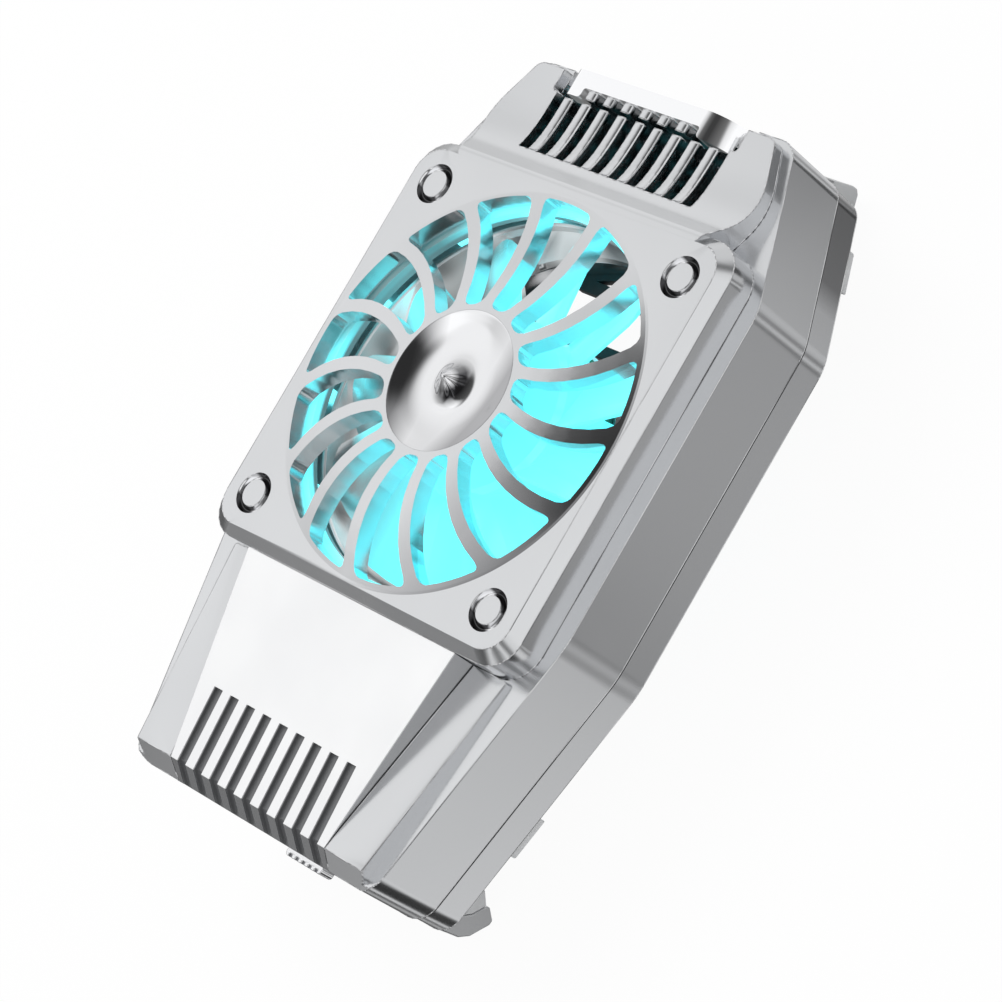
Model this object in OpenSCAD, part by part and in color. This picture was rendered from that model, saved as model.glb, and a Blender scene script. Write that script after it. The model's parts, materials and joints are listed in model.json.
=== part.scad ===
// Clip-on phone cooling fan with a swirl grille, an outlet wing and a sliding clamp.
// Every piece is drawn about the fan axis, with z = 0 on the face of the bezel, +Y towards
// the outlet and +Z out of the grille. place() then stands the part on its claws.

/* [Housing] */
// From each side of the fan to the outside of the flank
side_room = 2; // [1.8:0.1:4]
// From the bezel to the outlet end
outlet_reach = 10.9; // [10.5:0.1:13]
// From the bezel to the clamp end
clamp_reach = 20.9; // [20.3:0.1:25]
// How far before the bezel's end the flank turns in, towards the outlet
upper_turn = 3.8; // [2.8:0.1:4.8]
// How far before the bezel's end the flank turns in, towards the clamp
lower_turn = 4.8; // [3.8:0.1:5.8]
// Angle of the flanks towards the outlet end
upper_taper = 21.5; // [18:0.5:23]
// Angle of the flanks towards the clamp end
lower_taper = 11.5; // [9:0.5:12.5]
// Radius of the end corners in plan
corner_r = 2.4; // [1.6:0.1:3.2]
// Depth of the ledge below the bezel face
ledge_depth = 4; // [3.9:0.05:4.4]
// Depth of the rear shell
rear_t = 3.5; // [3.5:0.1:4.5]
// Floor of the rear shell
floor_t = 0.9; // [0.8:0.05:1]
// End walls of the housing
wall = 1.4; // [1.2:0.1:1.7]

/* [Bezel and grille] */
// Side of the bezel outside the fan opening
bezel_rim = 1.35; // [1.2:0.05:1.85]
// Bevel round the face of the bezel
bevel = 1; // [0.6:0.1:1.2]
// Corner radius of the bezel
bezel_r = 3.2; // [2.6:0.1:3.8]
// Number of spokes in the grille
spokes = 15; // [11:1:17]
// Width of a spoke near the hub
spoke_w = 1.18; // [1:0.02:1.4]
// Radius of the curve that each spoke follows
spoke_curve_r = 12.5; // [11.5:0.1:14]
// Depth of the spokes
spoke_t = 1.9; // [1.6:0.1:2]
// Diameter of the polished hub cap
hub_d = 13.32; // [12:0.1:14.5]
// Height of the hub above the bezel face
hub_rise = 1.66; // [1.4:0.02:2]

/* [Outlet wing and panel] */
// Width of the outlet opening
outlet_w = 22.3; // [20.5:0.1:22.5]
// Number of outlet fins
fins = 9; // [7:1:10]
// Thickness of an outlet fin
fin_t = 1; // [0.8:0.05:1.1]
// Number of grooves in the lower panel
grooves = 9; // [5:1:9]
// Width of a groove
groove_w = 1.2; // [0.9:0.05:1.4]
// Depth of a groove
groove_depth = 0.45; // [0.3:0.05:0.5]
// Length of the grooved stretch
groove_len = 7.2; // [5:0.1:10]

/* [Fan] */
// Side of the square fan frame: the housing grows with it
fan_side = 40; // [39.6:0.2:42]
// Thickness of the fan frame
fan_t = 7; // [7:0.5:10]
// Side of the fan frame outside the opening
fan_rim = 1.05; // [1:0.05:1.1]
// From the side of the fan frame to the middle of a screw
screw_inset = 4; // [3.8:0.05:4.05]
// Gap round the tips of the blades
tip_gap = 0.6; // [0.4:0.05:1]
// Number of blades
blades = 11; // [7:1:13]
// Diameter of the impeller hub
rotor_d = 17.2; // [16.8:0.1:18]
// Diameter of the motor shaft
shaft_d = 1.5; // [1.3:0.05:1.6]
// Radial play of the shaft in its bearing
bearing_play = 0.04; // [0.02:0.01:0.08]

/* [Clamp] */
// Width of the lower claw
lower_claw_w = 26; // [24:0.2:26.6]
// Width of the upper claw
upper_claw_w = 18; // [15:0.2:19]
// Depth of the claws below the back
claw_reach = 8.2; // [7.8:0.1:11]
// Width of each arm of the lower claw
arm_w = 4.4; // [3.6:0.1:4.5]
// Play between a moving arm and its channel
slide_play = 0.15; // [0.1:0.01:0.2]
// Number of coils in a claw spring
coils = 14; // [10:1:16]
// Thickness of the back pads
pad_t = 1; // [0.7:0.1:1.4]

/* [Hidden] */
$fn = 64;

// Fits and small common sizes
fit = 0.05;
eps = 0.1;
arc_steps = 6;
silver = [0.8, 0.81, 0.82];
steel = [0.72, 0.73, 0.75];
cyan = [0.45, 0.98, 1];
silicone = [0.9, 0.91, 0.92];
board_green = [0.08, 0.3, 0.2];
dark = [0.08, 0.09, 0.1];

// Plan, worked out from the fan
opening_r = fan_side / 2 - fan_rim;
bezel_half = opening_r + bezel_rim;
screw_at = fan_side / 2 - screw_inset;
body_w = fan_side + 2 * side_room;
upper_len = bezel_half + outlet_reach;
lower_len = bezel_half + clamp_reach;
upper_straight = bezel_half - upper_turn;
lower_straight = bezel_half - lower_turn;

// Levels, counted down from the bezel face
ledge_z = -ledge_depth;
lip_t = 0.4;
fan_front_z = ledge_z - lip_t - fit;
fan_back_z = fan_front_z - fan_t;
part_z = fan_back_z - fit;
back_z = part_z - rear_t;
hub_r = hub_d / 2;
seam = 0.1;
rear_inset = 0.2;

// Upper wing, outlet and its trim
wing_from_y = bezel_half - 2.3;
wing_root_half = bezel_half - 5.5;
wing_waist_y = bezel_half + 4.1;
wing_waist_half = flank_x(wing_waist_y) - 1.15;
wing_end_y = upper_len - 0.5;
wing_end_half = flank_x(wing_end_y) - 1.4;
wing_drop = 2.72;
wing_rate = 0.575;
wing_curve_y = bezel_half + 0.92;
shoulder_r = 0.8;
outlet_y = bezel_half + 2.1;
collar_t = 1.2;
collar_depth = 1.5;
collar_z = ledge_z - collar_depth;
duct_half = outlet_w / 2 + collar_t + 0.15;
fin_pitch = (outlet_w - fins * fin_t) / (fins + 1) + fin_t;
fin_end_y = wing_end_y - 2.5;
stub_y = fin_end_y + 0.4;
crossbar_z = collar_z + 0.9;
trim_half = outlet_w / 2 - 0.75;
trim_foot_left = 2.1;
trim_foot_right = 3.8;
trim_bend = 4;
trim_bar = 1.6;
trim_high = 0.05 - wing_drop;
trim_low = -wing_drop - 3;
notch_half = trim_half + 1.4;

// Lower panel and the platform beside it
panel_root_y = -(bezel_half + fit);
panel_end_y = -(lower_len - 1.5);
panel_root_half = bezel_half - 6.15;
panel_end_half = flank_x(panel_end_y) - 6.23;
panel_root_drop = 1.06;
panel_end_drop = 2.6;
end_slope_drop = 4.7;
panel_low = -end_slope_drop - 0.8;
end_slope = (end_slope_drop - panel_end_drop) / (lower_len + panel_end_y);
groove_pitch = 2.33;
platform_root_z = 0.25 - ledge_depth;
platform_side_z = 0.45 - ledge_depth;
platform_end_z = -panel_end_drop - 0.05;
platform_margin = 2.4;
platform_end_margin = 0.9;
platform_r = 1.6;

// Pocket of the lower wing, with the board and the socket
pocket_half = panel_root_half - 1.25;
pocket_z = panel_low - 0.75;
pocket_root_y = panel_root_y - 0.85;
board_t = 1;
board_top_z = pocket_z - fit;
board_half = pocket_half - 0.9;
board_root_y = panel_root_y - 2.25;
board_end_y = -(lower_len - wall - 1.2);
socket_w = 8.94;
socket_h = 3.16;
socket_len = 7.3;
socket_wall = 0.3;
socket_z = board_top_z - board_t - fit - socket_h / 2;
socket_mouth_y = -(lower_len - 0.2);

// Fan and motor
frame_bore_r = opening_r - 1.05;
tip_r = frame_bore_r - tip_gap;
rotor_r = rotor_d / 2;
shaft_r = shaft_d / 2;
frame_base_t = 1.1;
base_top_z = fan_back_z + frame_base_t;
motor_board_t = 0.4;
motor_board_z = base_top_z + fit;
rotor_back_z = motor_board_z + motor_board_t + 0.3;
rotor_front_z = fan_front_z + 1.05;
hub_wall = 0.7;
cup_r = rotor_r - hub_wall - fit;
cup_t = 0.45;
magnet_r = cup_r - cup_t - fit;
magnet_t = 0.85;
core_r = magnet_r - magnet_t - 0.5;
sleeve_r = shaft_r + bearing_play + 1.3;
tube_r = sleeve_r + fit + 0.75;
tube_top_z = rotor_front_z - 3.2;
boss_r = 1.8;
boss_z = tube_top_z + 0.4;
core_low_z = motor_board_z + motor_board_t + 0.6;
core_top_z = tube_top_z - 0.2;
blade_top_z = fan_front_z + 0.85;
blade_low_z = rotor_back_z + 0.2;

// Caps and case screws
cap_r = 1.92;
cap_deep = 1.05;
head_r = 1.7;
case_head_z = -2.2;
case_head_t = 1;
case_shank_r = 0.9;
case_end_z = part_z - 2;

// Clamp
arm_pitch = lower_claw_w - arm_w;
arm_t = 1.5;
channel_z = back_z + floor_t;
arm_bottom_z = channel_z + slide_play;
arm_top_z = arm_bottom_z + arm_t;
claw_half = lower_claw_w / 2;
claw_wall = 2;
claw_out_y = -(lower_len - 0.15);
claw_in_y = claw_out_y + claw_wall;
bridge_y = claw_in_y + 1.35;
arm_len = clamp_reach - 0.7;
arm_end_y = bridge_y + arm_len;
tip_z = back_z - claw_reach;
tab_out = 1.05;
tab_half = 2.5;
cover_z = arm_top_z + slide_play;
retainer_half = claw_half + 1.1;
retainer_root_y = panel_root_y - 1.05;
retainer_end_y = bridge_y + 0.3;
vent_r = frame_bore_r + 0.5;
guard_t = 1;
guard_bar = 1.25;
spring_x = 6.4;
spring_r = 0.6;
wire_r = 0.15;
spring_z = (arm_bottom_z + arm_top_z) / 2;
spring_fixed_y = arm_end_y - 2;
spring_post_r = 0.35;

// Upper claw
upper_half = upper_claw_w / 2;
tongue_t = 1.6;
tongue_top_z = part_z - 0.65;
tongue_low_z = tongue_top_z - tongue_t;
tongue_root_y = upper_len - 6.8;
upper_face_y = upper_len + 0.1;
boot_z = tip_z + 4.9;
y_high = upper_face_y + 3;
y_low = claw_out_y - tab_out;

// Pads and screws
seat_t = 0.2;
pad_inset = 0.45;
pad_upper_y = [upper_len - 7.8, upper_len - 4.1];
pad_lower_y = [8.7 - lower_len, 12.7 - lower_len];
shell_screw_upper = [duct_half + 1.9, upper_len - 6];
shell_screw_lower = [retainer_half + 1.5, 10.7 - lower_len];
retainer_screw_y = [retainer_root_y - 3.1, retainer_end_y + 3.9];
claw_screw = [upper_half - 3.5, upper_len - 4.6];

// The row stands on the tips of the claws, with its origin under the middle of its box
module place() translate([0, -(y_high + y_low) / 2, -tip_z]) children();

// Points of a fillet of radius r at corner b, between a and c
function unit(v) = v / norm(v);
function fillet(a, b, c, r) =
    let (u = unit(a - b),
         v = unit(c - b),
         half = acos(u * v) / 2,
         middle = b + unit(u + v) * r / sin(half),
         first = b + u * r / tan(half) - middle,
         last = b + v * r / tan(half) - middle,
         start = atan2(first.y, first.x),
         turn = atan2(first.x * last.y - first.y * last.x, first * last))
    [for (i = [0 : arc_steps])
        middle + r * [cos(start + turn * i / arc_steps), sin(start + turn * i / arc_steps)]];

// A closed outline with its corners rounded, one radius a corner
function rounded(points, radii) =
    let (n = len(points))
    [for (i = [0 : n - 1])
        each radii[i] > 0
            ? fillet(points[(i + n - 1) % n], points[i], points[(i + 1) % n], radii[i])
            : [points[i]]];

// An outline that runs anticlockwise, moved outwards by d on every side
function grown(points, d) =
    let (n = len(points))
    [for (i = [0 : n - 1])
        let (a = unit(points[i] - points[(i + n - 1) % n]),
             b = unit(points[(i + 1) % n] - points[i]),
             na = [a.y, -a.x],
             nb = [b.y, -b.x])
        points[i] + (na + nb) * d / (1 + na * nb)];

// An outline drawn for the +X side, closed by its mirror image
function reversed(list) = [for (i = [len(list) - 1 : -1 : 0]) list[i]];
function both_sides(points) = concat(points, [for (p = reversed(points)) [-p.x, p.y]]);
function block(half_x, low_y, high_y, r) =
    rounded([[half_x, low_y], [half_x, high_y], [-half_x, high_y], [-half_x, low_y]],
            [r, r, r, r]);

// Housing in plan, moved in by d
function taper_x(angle, length, straight, d) =
    body_w / 2 - (d + (length - d - straight) * sin(angle)) / cos(angle);
function body_plan(d) =
    let (half = [
            [taper_x(lower_taper, lower_len, lower_straight, d), d - lower_len],
            [body_w / 2 - d, d * tan(lower_taper / 2) - lower_straight],
            [body_w / 2 - d, upper_straight - d * tan(upper_taper / 2)],
            [taper_x(upper_taper, upper_len, upper_straight, d), upper_len - d]],
         end_r = corner_r - d)
    rounded(both_sides(half), [end_r, 12, 6, end_r, end_r, 6, 12, end_r]);

// Half the width of the housing at a place along its length
function flank_x(y) =
    y > 0 ? body_w / 2 - max(y - upper_straight, 0) * tan(upper_taper)
          : body_w / 2 - max(-y - lower_straight, 0) * tan(lower_taper);

module slab(points, low, high) translate([0, 0, low]) linear_extrude(high - low) polygon(points);

// A solid from an outline in the Y-Z plane, centred across X
module across(points, width)
    translate([-width / 2, 0, 0]) rotate([90, 0, 90]) linear_extrude(width) polygon(points);

module four_corners() {
    for (sx = [-1, 1]) for (sy = [-1, 1]) translate([sx * screw_at, sy * screw_at, 0]) children();
}

module shell_screw_places() {
    for (sx = [-1, 1]) {
        translate([sx * shell_screw_upper.x, shell_screw_upper.y, 0]) children();
        translate([sx * shell_screw_lower.x, shell_screw_lower.y, 0]) children();
    }
}

module rod(x, y, low, high, r) translate([x, y, low]) cylinder(h = high - low, r = r);

// Everything above the slope that ends the housing at the clamp
module above_end_slope() {
    high_y = panel_end_y + 3;
    low_y = -lower_len - 0.2;
    across([[high_y, 3 * end_slope - panel_end_drop],
            [high_y, 4],
            [low_y - 3, 4],
            [low_y - 3, -end_slope_drop - 0.2 * end_slope],
            [low_y, -end_slope_drop - 0.2 * end_slope]], body_w + 2);
}

// Face of the panel, as a depth, and half its width, at a place along its length
function along_panel(y) = (y - panel_root_y) / (panel_end_y - panel_root_y);
function panel_drop(y) = panel_root_drop + (panel_end_drop - panel_root_drop) * along_panel(y);
function panel_half(y) = panel_root_half + (panel_end_half - panel_root_half) * along_panel(y);
function panel_plan() =
    both_sides([[panel_half(-lower_len - 1), -lower_len - 1], [panel_root_half, panel_root_y]]);

// Platform beside the panel, one half
module platform(side) {
    low = ledge_z - 1;
    root_x = flank_x(panel_root_y) - platform_margin - 0.3;
    end_x = flank_x(-lower_len) - platform_end_margin - platform_r;
    hull() {
        translate([side * root_x, panel_root_y - 0.3, low])
            cylinder(h = platform_side_z - low, r = 0.3, $fn = 16);
        translate([side * end_x, platform_r - lower_len, low])
            cylinder(h = platform_end_z - low, r = platform_r, $fn = 32);
        translate([side * (panel_root_half + 0.1), panel_root_y, low])
            cube([0.01, 0.01, platform_root_z - low], center = false);
        translate([side * (panel_half(panel_end_y) + 0.1), panel_end_y, low])
            cube([0.01, 0.01, -panel_end_drop - low]);
        translate([side * (panel_half(-lower_len) + 0.1), -lower_len, low])
            cube([0.01, 0.01, -panel_end_drop - low]);
    }
}

module socket_hole(grow, depth) {
    half_h = socket_h / 2 + grow;
    translate([0, -lower_len - eps, socket_z]) rotate([-90, 0, 0]) linear_extrude(depth)
        polygon(block(socket_w / 2 + grow, -half_h, half_h, half_h - 0.05));
}

module front_shell() color(silver) place() difference() {
    union() {
        slab(body_plan(0), part_z, ledge_z);
        platform(1);
        platform(-1);
    }
    slab(block(fan_side / 2 + 0.15, -fan_side / 2 - 0.15, fan_side / 2 + 0.15, 3.3),
         part_z - eps, ledge_z - lip_t);
    translate([0, 0, ledge_z - 1]) cylinder(h = 2, r = opening_r + 0.15, $fn = 96);
    slab(block(duct_half, wing_from_y, upper_len - wall, 0.6), part_z - eps, ledge_z + 1);
    slab(block(notch_half, upper_len - 3, upper_len + 1, 0.3), trim_low - fit, 1);
    slab(block(pocket_half, -(lower_len - wall), pocket_root_y, 1), part_z - eps, pocket_z);
    slab(grown(panel_plan(), fit), panel_low - fit, 1);
    above_end_slope();
    socket_hole(0.1, wall + 1);
    translate([-1.5, pocket_root_y - 1, part_z - eps]) cube([3, 3, 1.6]);
    shell_screw_places() rod(0, 0, part_z - eps, part_z + 3.6, 0.8 + fit);
    four_corners() rod(0, 0, ledge_z - 1, ledge_z + 1, case_shank_r + 0.2);
}

// Grille: the middle of a window, as an angle, and half its width at radius r
curve_at = 16.48;
curve_dir = 58.1;
window_out_r = opening_r - 0.4;
window_in_r = hub_r + 0.54;
window_corner = 0.8;
window_steps = 7;
corner_stops = [0.02, 0.14, 0.4, 1];
function window_dir(r) =
    curve_dir
    - acos((r * r + curve_at * curve_at - spoke_curve_r * spoke_curve_r) / (2 * r * curve_at));
function window_half(r) =
    let (spoke = spoke_w + 0.03 * (r - window_in_r - 2),
         from_end = min(window_out_r - r, r - window_in_r),
         inside = max(window_corner - from_end, 0),
         pulled = window_corner - sqrt(window_corner * window_corner - inside * inside))
    r * PI / spokes - spoke / 2 - pulled;
function window_radii() = concat(
    [for (t = corner_stops) window_in_r + t * window_corner],
    [for (i = [1 : window_steps - 1])
        window_in_r + window_corner
        + (window_out_r - window_in_r - 2 * window_corner) * i / window_steps],
    [for (t = reversed(corner_stops)) window_out_r - t * window_corner]);
function window_side(side) =
    [for (r = window_radii())
        let (dir = window_dir(r) + side * window_half(r) / r * 180 / PI)
        r * [cos(dir), sin(dir)]];
function window_end() =
    [for (t = [-0.5 : 0.5 : 0.5])
        let (dir = window_dir(window_out_r)
                   + t * window_half(window_out_r) / window_out_r * 180 / PI)
        window_out_r * [cos(dir), sin(dir)]];
function window_outline() = concat(window_side(-1), window_end(), reversed(window_side(1)));

// Height of the domed grille at radius r
dome_sag = 0.4;
dome_steps = 6;
cap_seat_z = 0.55;
stem_r = 1.2;
function dome_z(r) =
    let (u = (r - hub_r) / (opening_r - hub_r))
    hub_rise * (1 - u) + 4 * dome_sag * u * (1 - u);
function dome_line(drop) =
    let (first = hub_r + fit)
    [for (i = [0 : dome_steps])
        let (r = first + (opening_r - first) * i / dome_steps) [r, dome_z(r) - drop]];

module grille_dome() difference() {
    rotate_extrude($fn = 96) polygon(concat(
        [[stem_r + fit, cap_seat_z], [hub_r + fit, cap_seat_z]],
        dome_line(0),
        [[opening_r + 0.3, -0.02], [opening_r + 0.3, -spoke_t]],
        reversed(dome_line(spoke_t)),
        [[stem_r + fit, hub_rise - spoke_t]]));
    for (k = [0 : spokes - 1]) rotate(k * 360 / spokes)
        slab(window_outline(), -spoke_t - 1, hub_rise + 2);
}

module bezel_block() {
    slab(block(bezel_half, -bezel_half, bezel_half, bezel_r), ledge_z + fit, -bevel);
    hull() {
        slab(block(bezel_half, -bezel_half, bezel_half, bezel_r), -bevel - 0.01, -bevel);
        slab(block(bezel_half - bevel, bevel - bezel_half, bezel_half - bevel,
                   bezel_r - 0.6 * bevel), -0.01, 0);
    }
}

// Face of the upper wing in section, from the bezel outwards
function wing_z(y) = -wing_drop * (1 - exp(-wing_rate * (y - bezel_half)));
function wing_face() =
    let (face_z = -0.02,
         start_z = wing_z(wing_curve_y),
         slope = wing_rate * (wing_drop + start_z),
         shoulder = [wing_curve_y - (face_z - start_z) / slope, face_z],
         curve = [for (t = [8 : -1 : 0])
             let (y = wing_curve_y + 0.35 * t + 0.05 * t * t) [y, wing_z(y)]])
    concat(
        [[wing_from_y, ledge_z + fit], [wing_end_y + 0.01, ledge_z + fit],
         [wing_end_y + 0.01, -wing_drop]],
        curve,
        fillet(curve[8], shoulder, [wing_from_y, face_z], shoulder_r),
        [[wing_from_y, face_z]]);
function wing_plan() =
    rounded(both_sides([[wing_root_half, wing_from_y], [wing_waist_half, wing_waist_y],
                        [wing_end_half, wing_end_y]]), [0, 6, 1.2, 1.2, 6, 0]);

module upper_wing() {
    intersection() {
        slab(wing_plan(), ledge_z, 1);
        across(wing_face(), body_w);
    }
    slab(block(outlet_w / 2 + collar_t, outlet_y - collar_t, stub_y + 0.1, 0.5),
         collar_z, ledge_z + 1);
}

// One fin: its top follows the face of the wing
module fin(x, y0, y1) intersection() {
    translate([x - fin_t / 2, y0, collar_z]) cube([fin_t, y1 - y0, 10]);
    union() {
        across(wing_face(), body_w);
        translate([-body_w / 2, wing_from_y, collar_z])
            cube([body_w, upper_len, collar_depth + 2 * fit]);
    }
}

module outlet_fins() {
    for (i = [0 : fins - 1]) fin((i - (fins - 1) / 2) * fin_pitch, outlet_y - eps, fin_end_y);
    for (i = [1 : fins - 3])
        fin((i - (fins - 1) / 2) * fin_pitch, stub_y, upper_len - trim_bar - fit);
    translate([-outlet_w / 2 - eps, fin_end_y - 1, collar_z])
        cube([outlet_w + 2 * eps, stub_y + 0.9 - fin_end_y + 1, crossbar_z - collar_z]);
}

module grille_cover() color(silver) place() {
    difference() {
        union() {
            bezel_block();
            upper_wing();
        }
        translate([0, 0, ledge_z - 2]) cylinder(h = ledge_depth + 3, r = opening_r, $fn = 96);
        slab(block(outlet_w / 2, outlet_y, wing_end_y - 1.6, 0.2), collar_z - 1, 1);
        slab(block(notch_half, stub_y - 0.1, upper_len + 2, 0.3), trim_low, 1);
        four_corners() {
            rod(0, 0, case_head_z, 1, cap_r + fit);
            rod(0, 0, ledge_z - 1, 0, case_shank_r + 0.2);
        }
    }
    grille_dome();
    outlet_fins();
}

module hub_cap() color(steel) place() {
    rotate_extrude($fn = 96) polygon([
        [0, cap_seat_z], [hub_r, cap_seat_z], [hub_r, hub_rise - 0.18], [hub_r - 0.16, hub_rise],
        [hub_r - 0.9, hub_rise], [hub_r * 0.7, hub_rise - 0.22], [hub_r * 0.52, hub_rise - 0.55],
        [hub_r * 0.4, hub_rise - 0.66], [hub_r * 0.3, hub_rise - 0.52], [hub_r * 0.18, hub_rise],
        [hub_r * 0.08, hub_rise + 0.62], [hub_r * 0.03, hub_rise + 0.86], [0, hub_rise + 0.9]]);
    rod(0, 0, hub_rise - spoke_t, cap_seat_z + eps, stem_r);
}

module screw_caps() color(silver) place() four_corners() rotate_extrude() polygon([
    [0, -cap_deep], [cap_r, -cap_deep], [cap_r, -0.45], [cap_r - 0.22, -0.45],
    [cap_r - 0.56, 0], [0, 0]]);

// Trim bar seen along Y: it bends down in a wide curve at the +X end
function trim_face() =
    let (turn = acos(1 - (trim_high - trim_low) / trim_bend))
    concat(
        [for (i = [10 : -1 : 0])
            [trim_half - trim_bend * (1 - sin(turn * i / 10)),
             trim_high - trim_bend * (1 - cos(turn * i / 10))]],
        fillet([0, trim_high], [-trim_half, trim_high], [-trim_half, trim_low], 0.8),
        [[-trim_half, trim_low]]);

// In plan it has a foot at each end, the +X foot wider
function trim_plan() =
    let (bar_y = upper_len - trim_bar)
    rounded([[trim_half, stub_y], [trim_half, upper_len], [-trim_half, upper_len],
             [-trim_half, stub_y], [trim_foot_left - trim_half, stub_y],
             [trim_foot_left - trim_half, bar_y], [trim_half - trim_foot_right, bar_y],
             [trim_half - trim_foot_right, stub_y]],
            [0.4, 0.6, 0.6, 0.4, 0.4, 0.3, 0.3, 0.4]);

module outlet_trim() color(steel) place() difference() {
    intersection() {
        slab(trim_plan(), trim_low - 1, trim_high + 1);
        translate([0, upper_len + 1, 0]) rotate([90, 0, 0]) linear_extrude(upper_len)
            polygon(trim_face());
    }
    translate([-body_w / 2, 0, trim_low - 1])
        cube([body_w, upper_len - trim_bar + fit, crossbar_z + 0.1 - trim_low + 1]);
}

// Grooves run along the face of the panel and down its end slope
module panel_grooves() {
    start = panel_end_y + groove_len;
    far = -(lower_len + 1);
    turn_y = panel_end_y + 0.54 * groove_depth;
    turn_z = -panel_drop(turn_y) - groove_depth;
    for (i = [0 : grooves - 1]) translate([(i - (grooves - 1) / 2) * groove_pitch, 0, 0])
        across([[far, 1], [far, turn_z - (turn_y - far) * end_slope], [turn_y, turn_z],
                [start, -panel_drop(start) - groove_depth], [start, 1]], groove_w);
}

module lower_panel() color("white") place() difference() {
    intersection() {
        slab(panel_plan(), panel_low, 0);
        across([[panel_root_y, -panel_root_drop], [-lower_len - 1, -panel_drop(-lower_len - 1)],
                [-lower_len - 1, panel_low - 1], [panel_root_y, panel_low - 1]], body_w);
        translate([-body_w / 2, -lower_len, -20]) cube([body_w, lower_len, 20]);
    }
    above_end_slope();
    panel_grooves();
}

module rear_shell() color(silver) place() {
    half = arm_w / 2 + slide_play;
    difference() {
        slab(body_plan(rear_inset), back_z, part_z - seam);
        rod(0, 0, back_z - 1, part_z + 1, frame_bore_r);
        rod(0, 0, back_z - 1, back_z + guard_t + 0.15, vent_r);
        for (s = [-1, 1]) {
            translate([s * arm_pitch / 2 - half, bridge_y - 1, channel_z])
                cube([2 * half, arm_len + 1 + slide_play + 0.2, 10]);
            translate([s * spring_x - 1.1, bridge_y - 1, channel_z])
                cube([2.2, spring_fixed_y - bridge_y + 1.7, 10]);
            rod(s * claw_screw.x, claw_screw.y, back_z + 0.3, part_z, 0.75);
        }
        translate([-claw_half - slide_play, -lower_len - 1, channel_z])
            cube([2 * (claw_half + slide_play), bridge_y + lower_len + 1.3, cover_z - channel_z]);
        translate([-claw_half - slide_play, -lower_len - 1, back_z - 1])
            cube([2 * (claw_half + slide_play), claw_in_y + lower_len + 1.2, rear_t]);
        slab(block(retainer_half + fit, retainer_end_y - fit, retainer_root_y + fit, 0.5),
             cover_z, part_z + 1);
        for (y = retainer_screw_y) rod(0, y, back_z + 0.6, part_z, 0.75);
        slab(block(upper_half + fit, tongue_root_y - fit, upper_len + 1, 0.3),
             tongue_low_z - fit, part_z + 1);
        shell_screw_places() {
            rod(0, 0, back_z - 1, part_z + 1, 0.8 + fit);
            rod(0, 0, back_z - 1, back_z + 1.2, 1.5);
        }
        four_corners() rod(0, 0, case_end_z - 0.2, part_z + 1, case_shank_r + fit);
        slab(pad_plan(pad_upper_y, fit), back_z - 1, back_z + seat_t + fit);
        slab(pad_plan(pad_lower_y, fit), back_z - 1, back_z + seat_t + fit);
    }
    for (s = [-1, 1]) rod(s * spring_x, spring_fixed_y, channel_z - eps, arm_top_z, spring_post_r);
}

module rear_guard() color(dark) place() {
    low = back_z + 0.1;
    rim = vent_r - fit;
    translate([0, 0, low]) difference() {
        cylinder(h = guard_t, r = rim);
        translate([0, 0, -1]) cylinder(h = guard_t + 2, r = rim - 1.1);
    }
    for (i = [-3 : 3]) {
        y = i * rim / 3.55;
        half = sqrt(pow(rim - 0.4, 2) - pow(abs(y) + guard_bar / 2, 2));
        translate([-half, y - guard_bar / 2, low]) cube([2 * half, guard_bar, guard_t]);
    }
}

module ring(inner, outer, low, high) translate([0, 0, low]) difference() {
    cylinder(h = high - low, r = outer, $fn = 96);
    translate([0, 0, -1]) cylinder(h = high - low + 2, r = inner, $fn = 96);
}

module light_ring() color(cyan) place()
    ring(opening_r - 0.9, opening_r - fit, ledge_z + 0.6, -spoke_t - 0.15);

module led_board() color(board_green) place()
    ring(opening_r - 0.9, opening_r - fit, fan_front_z + 0.02, ledge_z - fit);

module leds() color("white") place()
    for (k = [0 : 11]) rotate(15 + k * 30)
        translate([opening_r - 0.78, -0.6, ledge_z - 0.03]) cube([0.6, 1.2, 0.55]);

module fan_frame() color(dark) place() {
    difference() {
        slab(block(fan_side / 2, -fan_side / 2, fan_side / 2, 3.2), fan_back_z, fan_front_z);
        rod(0, 0, fan_back_z - 1, fan_front_z + 1, frame_bore_r);
        four_corners() rod(0, 0, fan_back_z - 1, fan_front_z + 1, 1.75);
        translate([-fan_side / 4, fan_side / 4, fan_back_z + 1])
            cube([fan_side / 2, fan_side / 2, fan_t - 2]);
    }
    difference() {
        union() {
            rod(0, 0, fan_back_z, base_top_z, rotor_r + 0.6);
            for (k = [0 : 3]) rotate(45 + k * 90)
                translate([rotor_r, -1.1, fan_back_z])
                cube([frame_bore_r - rotor_r + 0.5, 2.2, frame_base_t]);
            rod(0, 0, fan_back_z, tube_top_z, tube_r);
        }
        rod(0, 0, fan_back_z + 0.5, tube_top_z + 1, sleeve_r + fit);
    }
}

// A blade in section: a bowed band that runs down from its upper edge
blade_t = 0.66;
blade_lean = 8.2;
blade_bow = 0.8;
blade_steps = 8;
blade_rest = 31;
leaf_r = 3.6;
function blade_line(side) =
    let (drop = blade_top_z - blade_low_z,
         normal = unit([drop, blade_lean]))
    [for (i = [0 : blade_steps])
        let (t = i / blade_steps,
             half = blade_t / 2 * (1 - 0.6 * pow(2 * t - 1, 4)))
        [blade_lean * (t - 0.5) + 4 * blade_bow * t * (1 - t), blade_top_z - drop * t]
        + side * half * normal];

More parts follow.
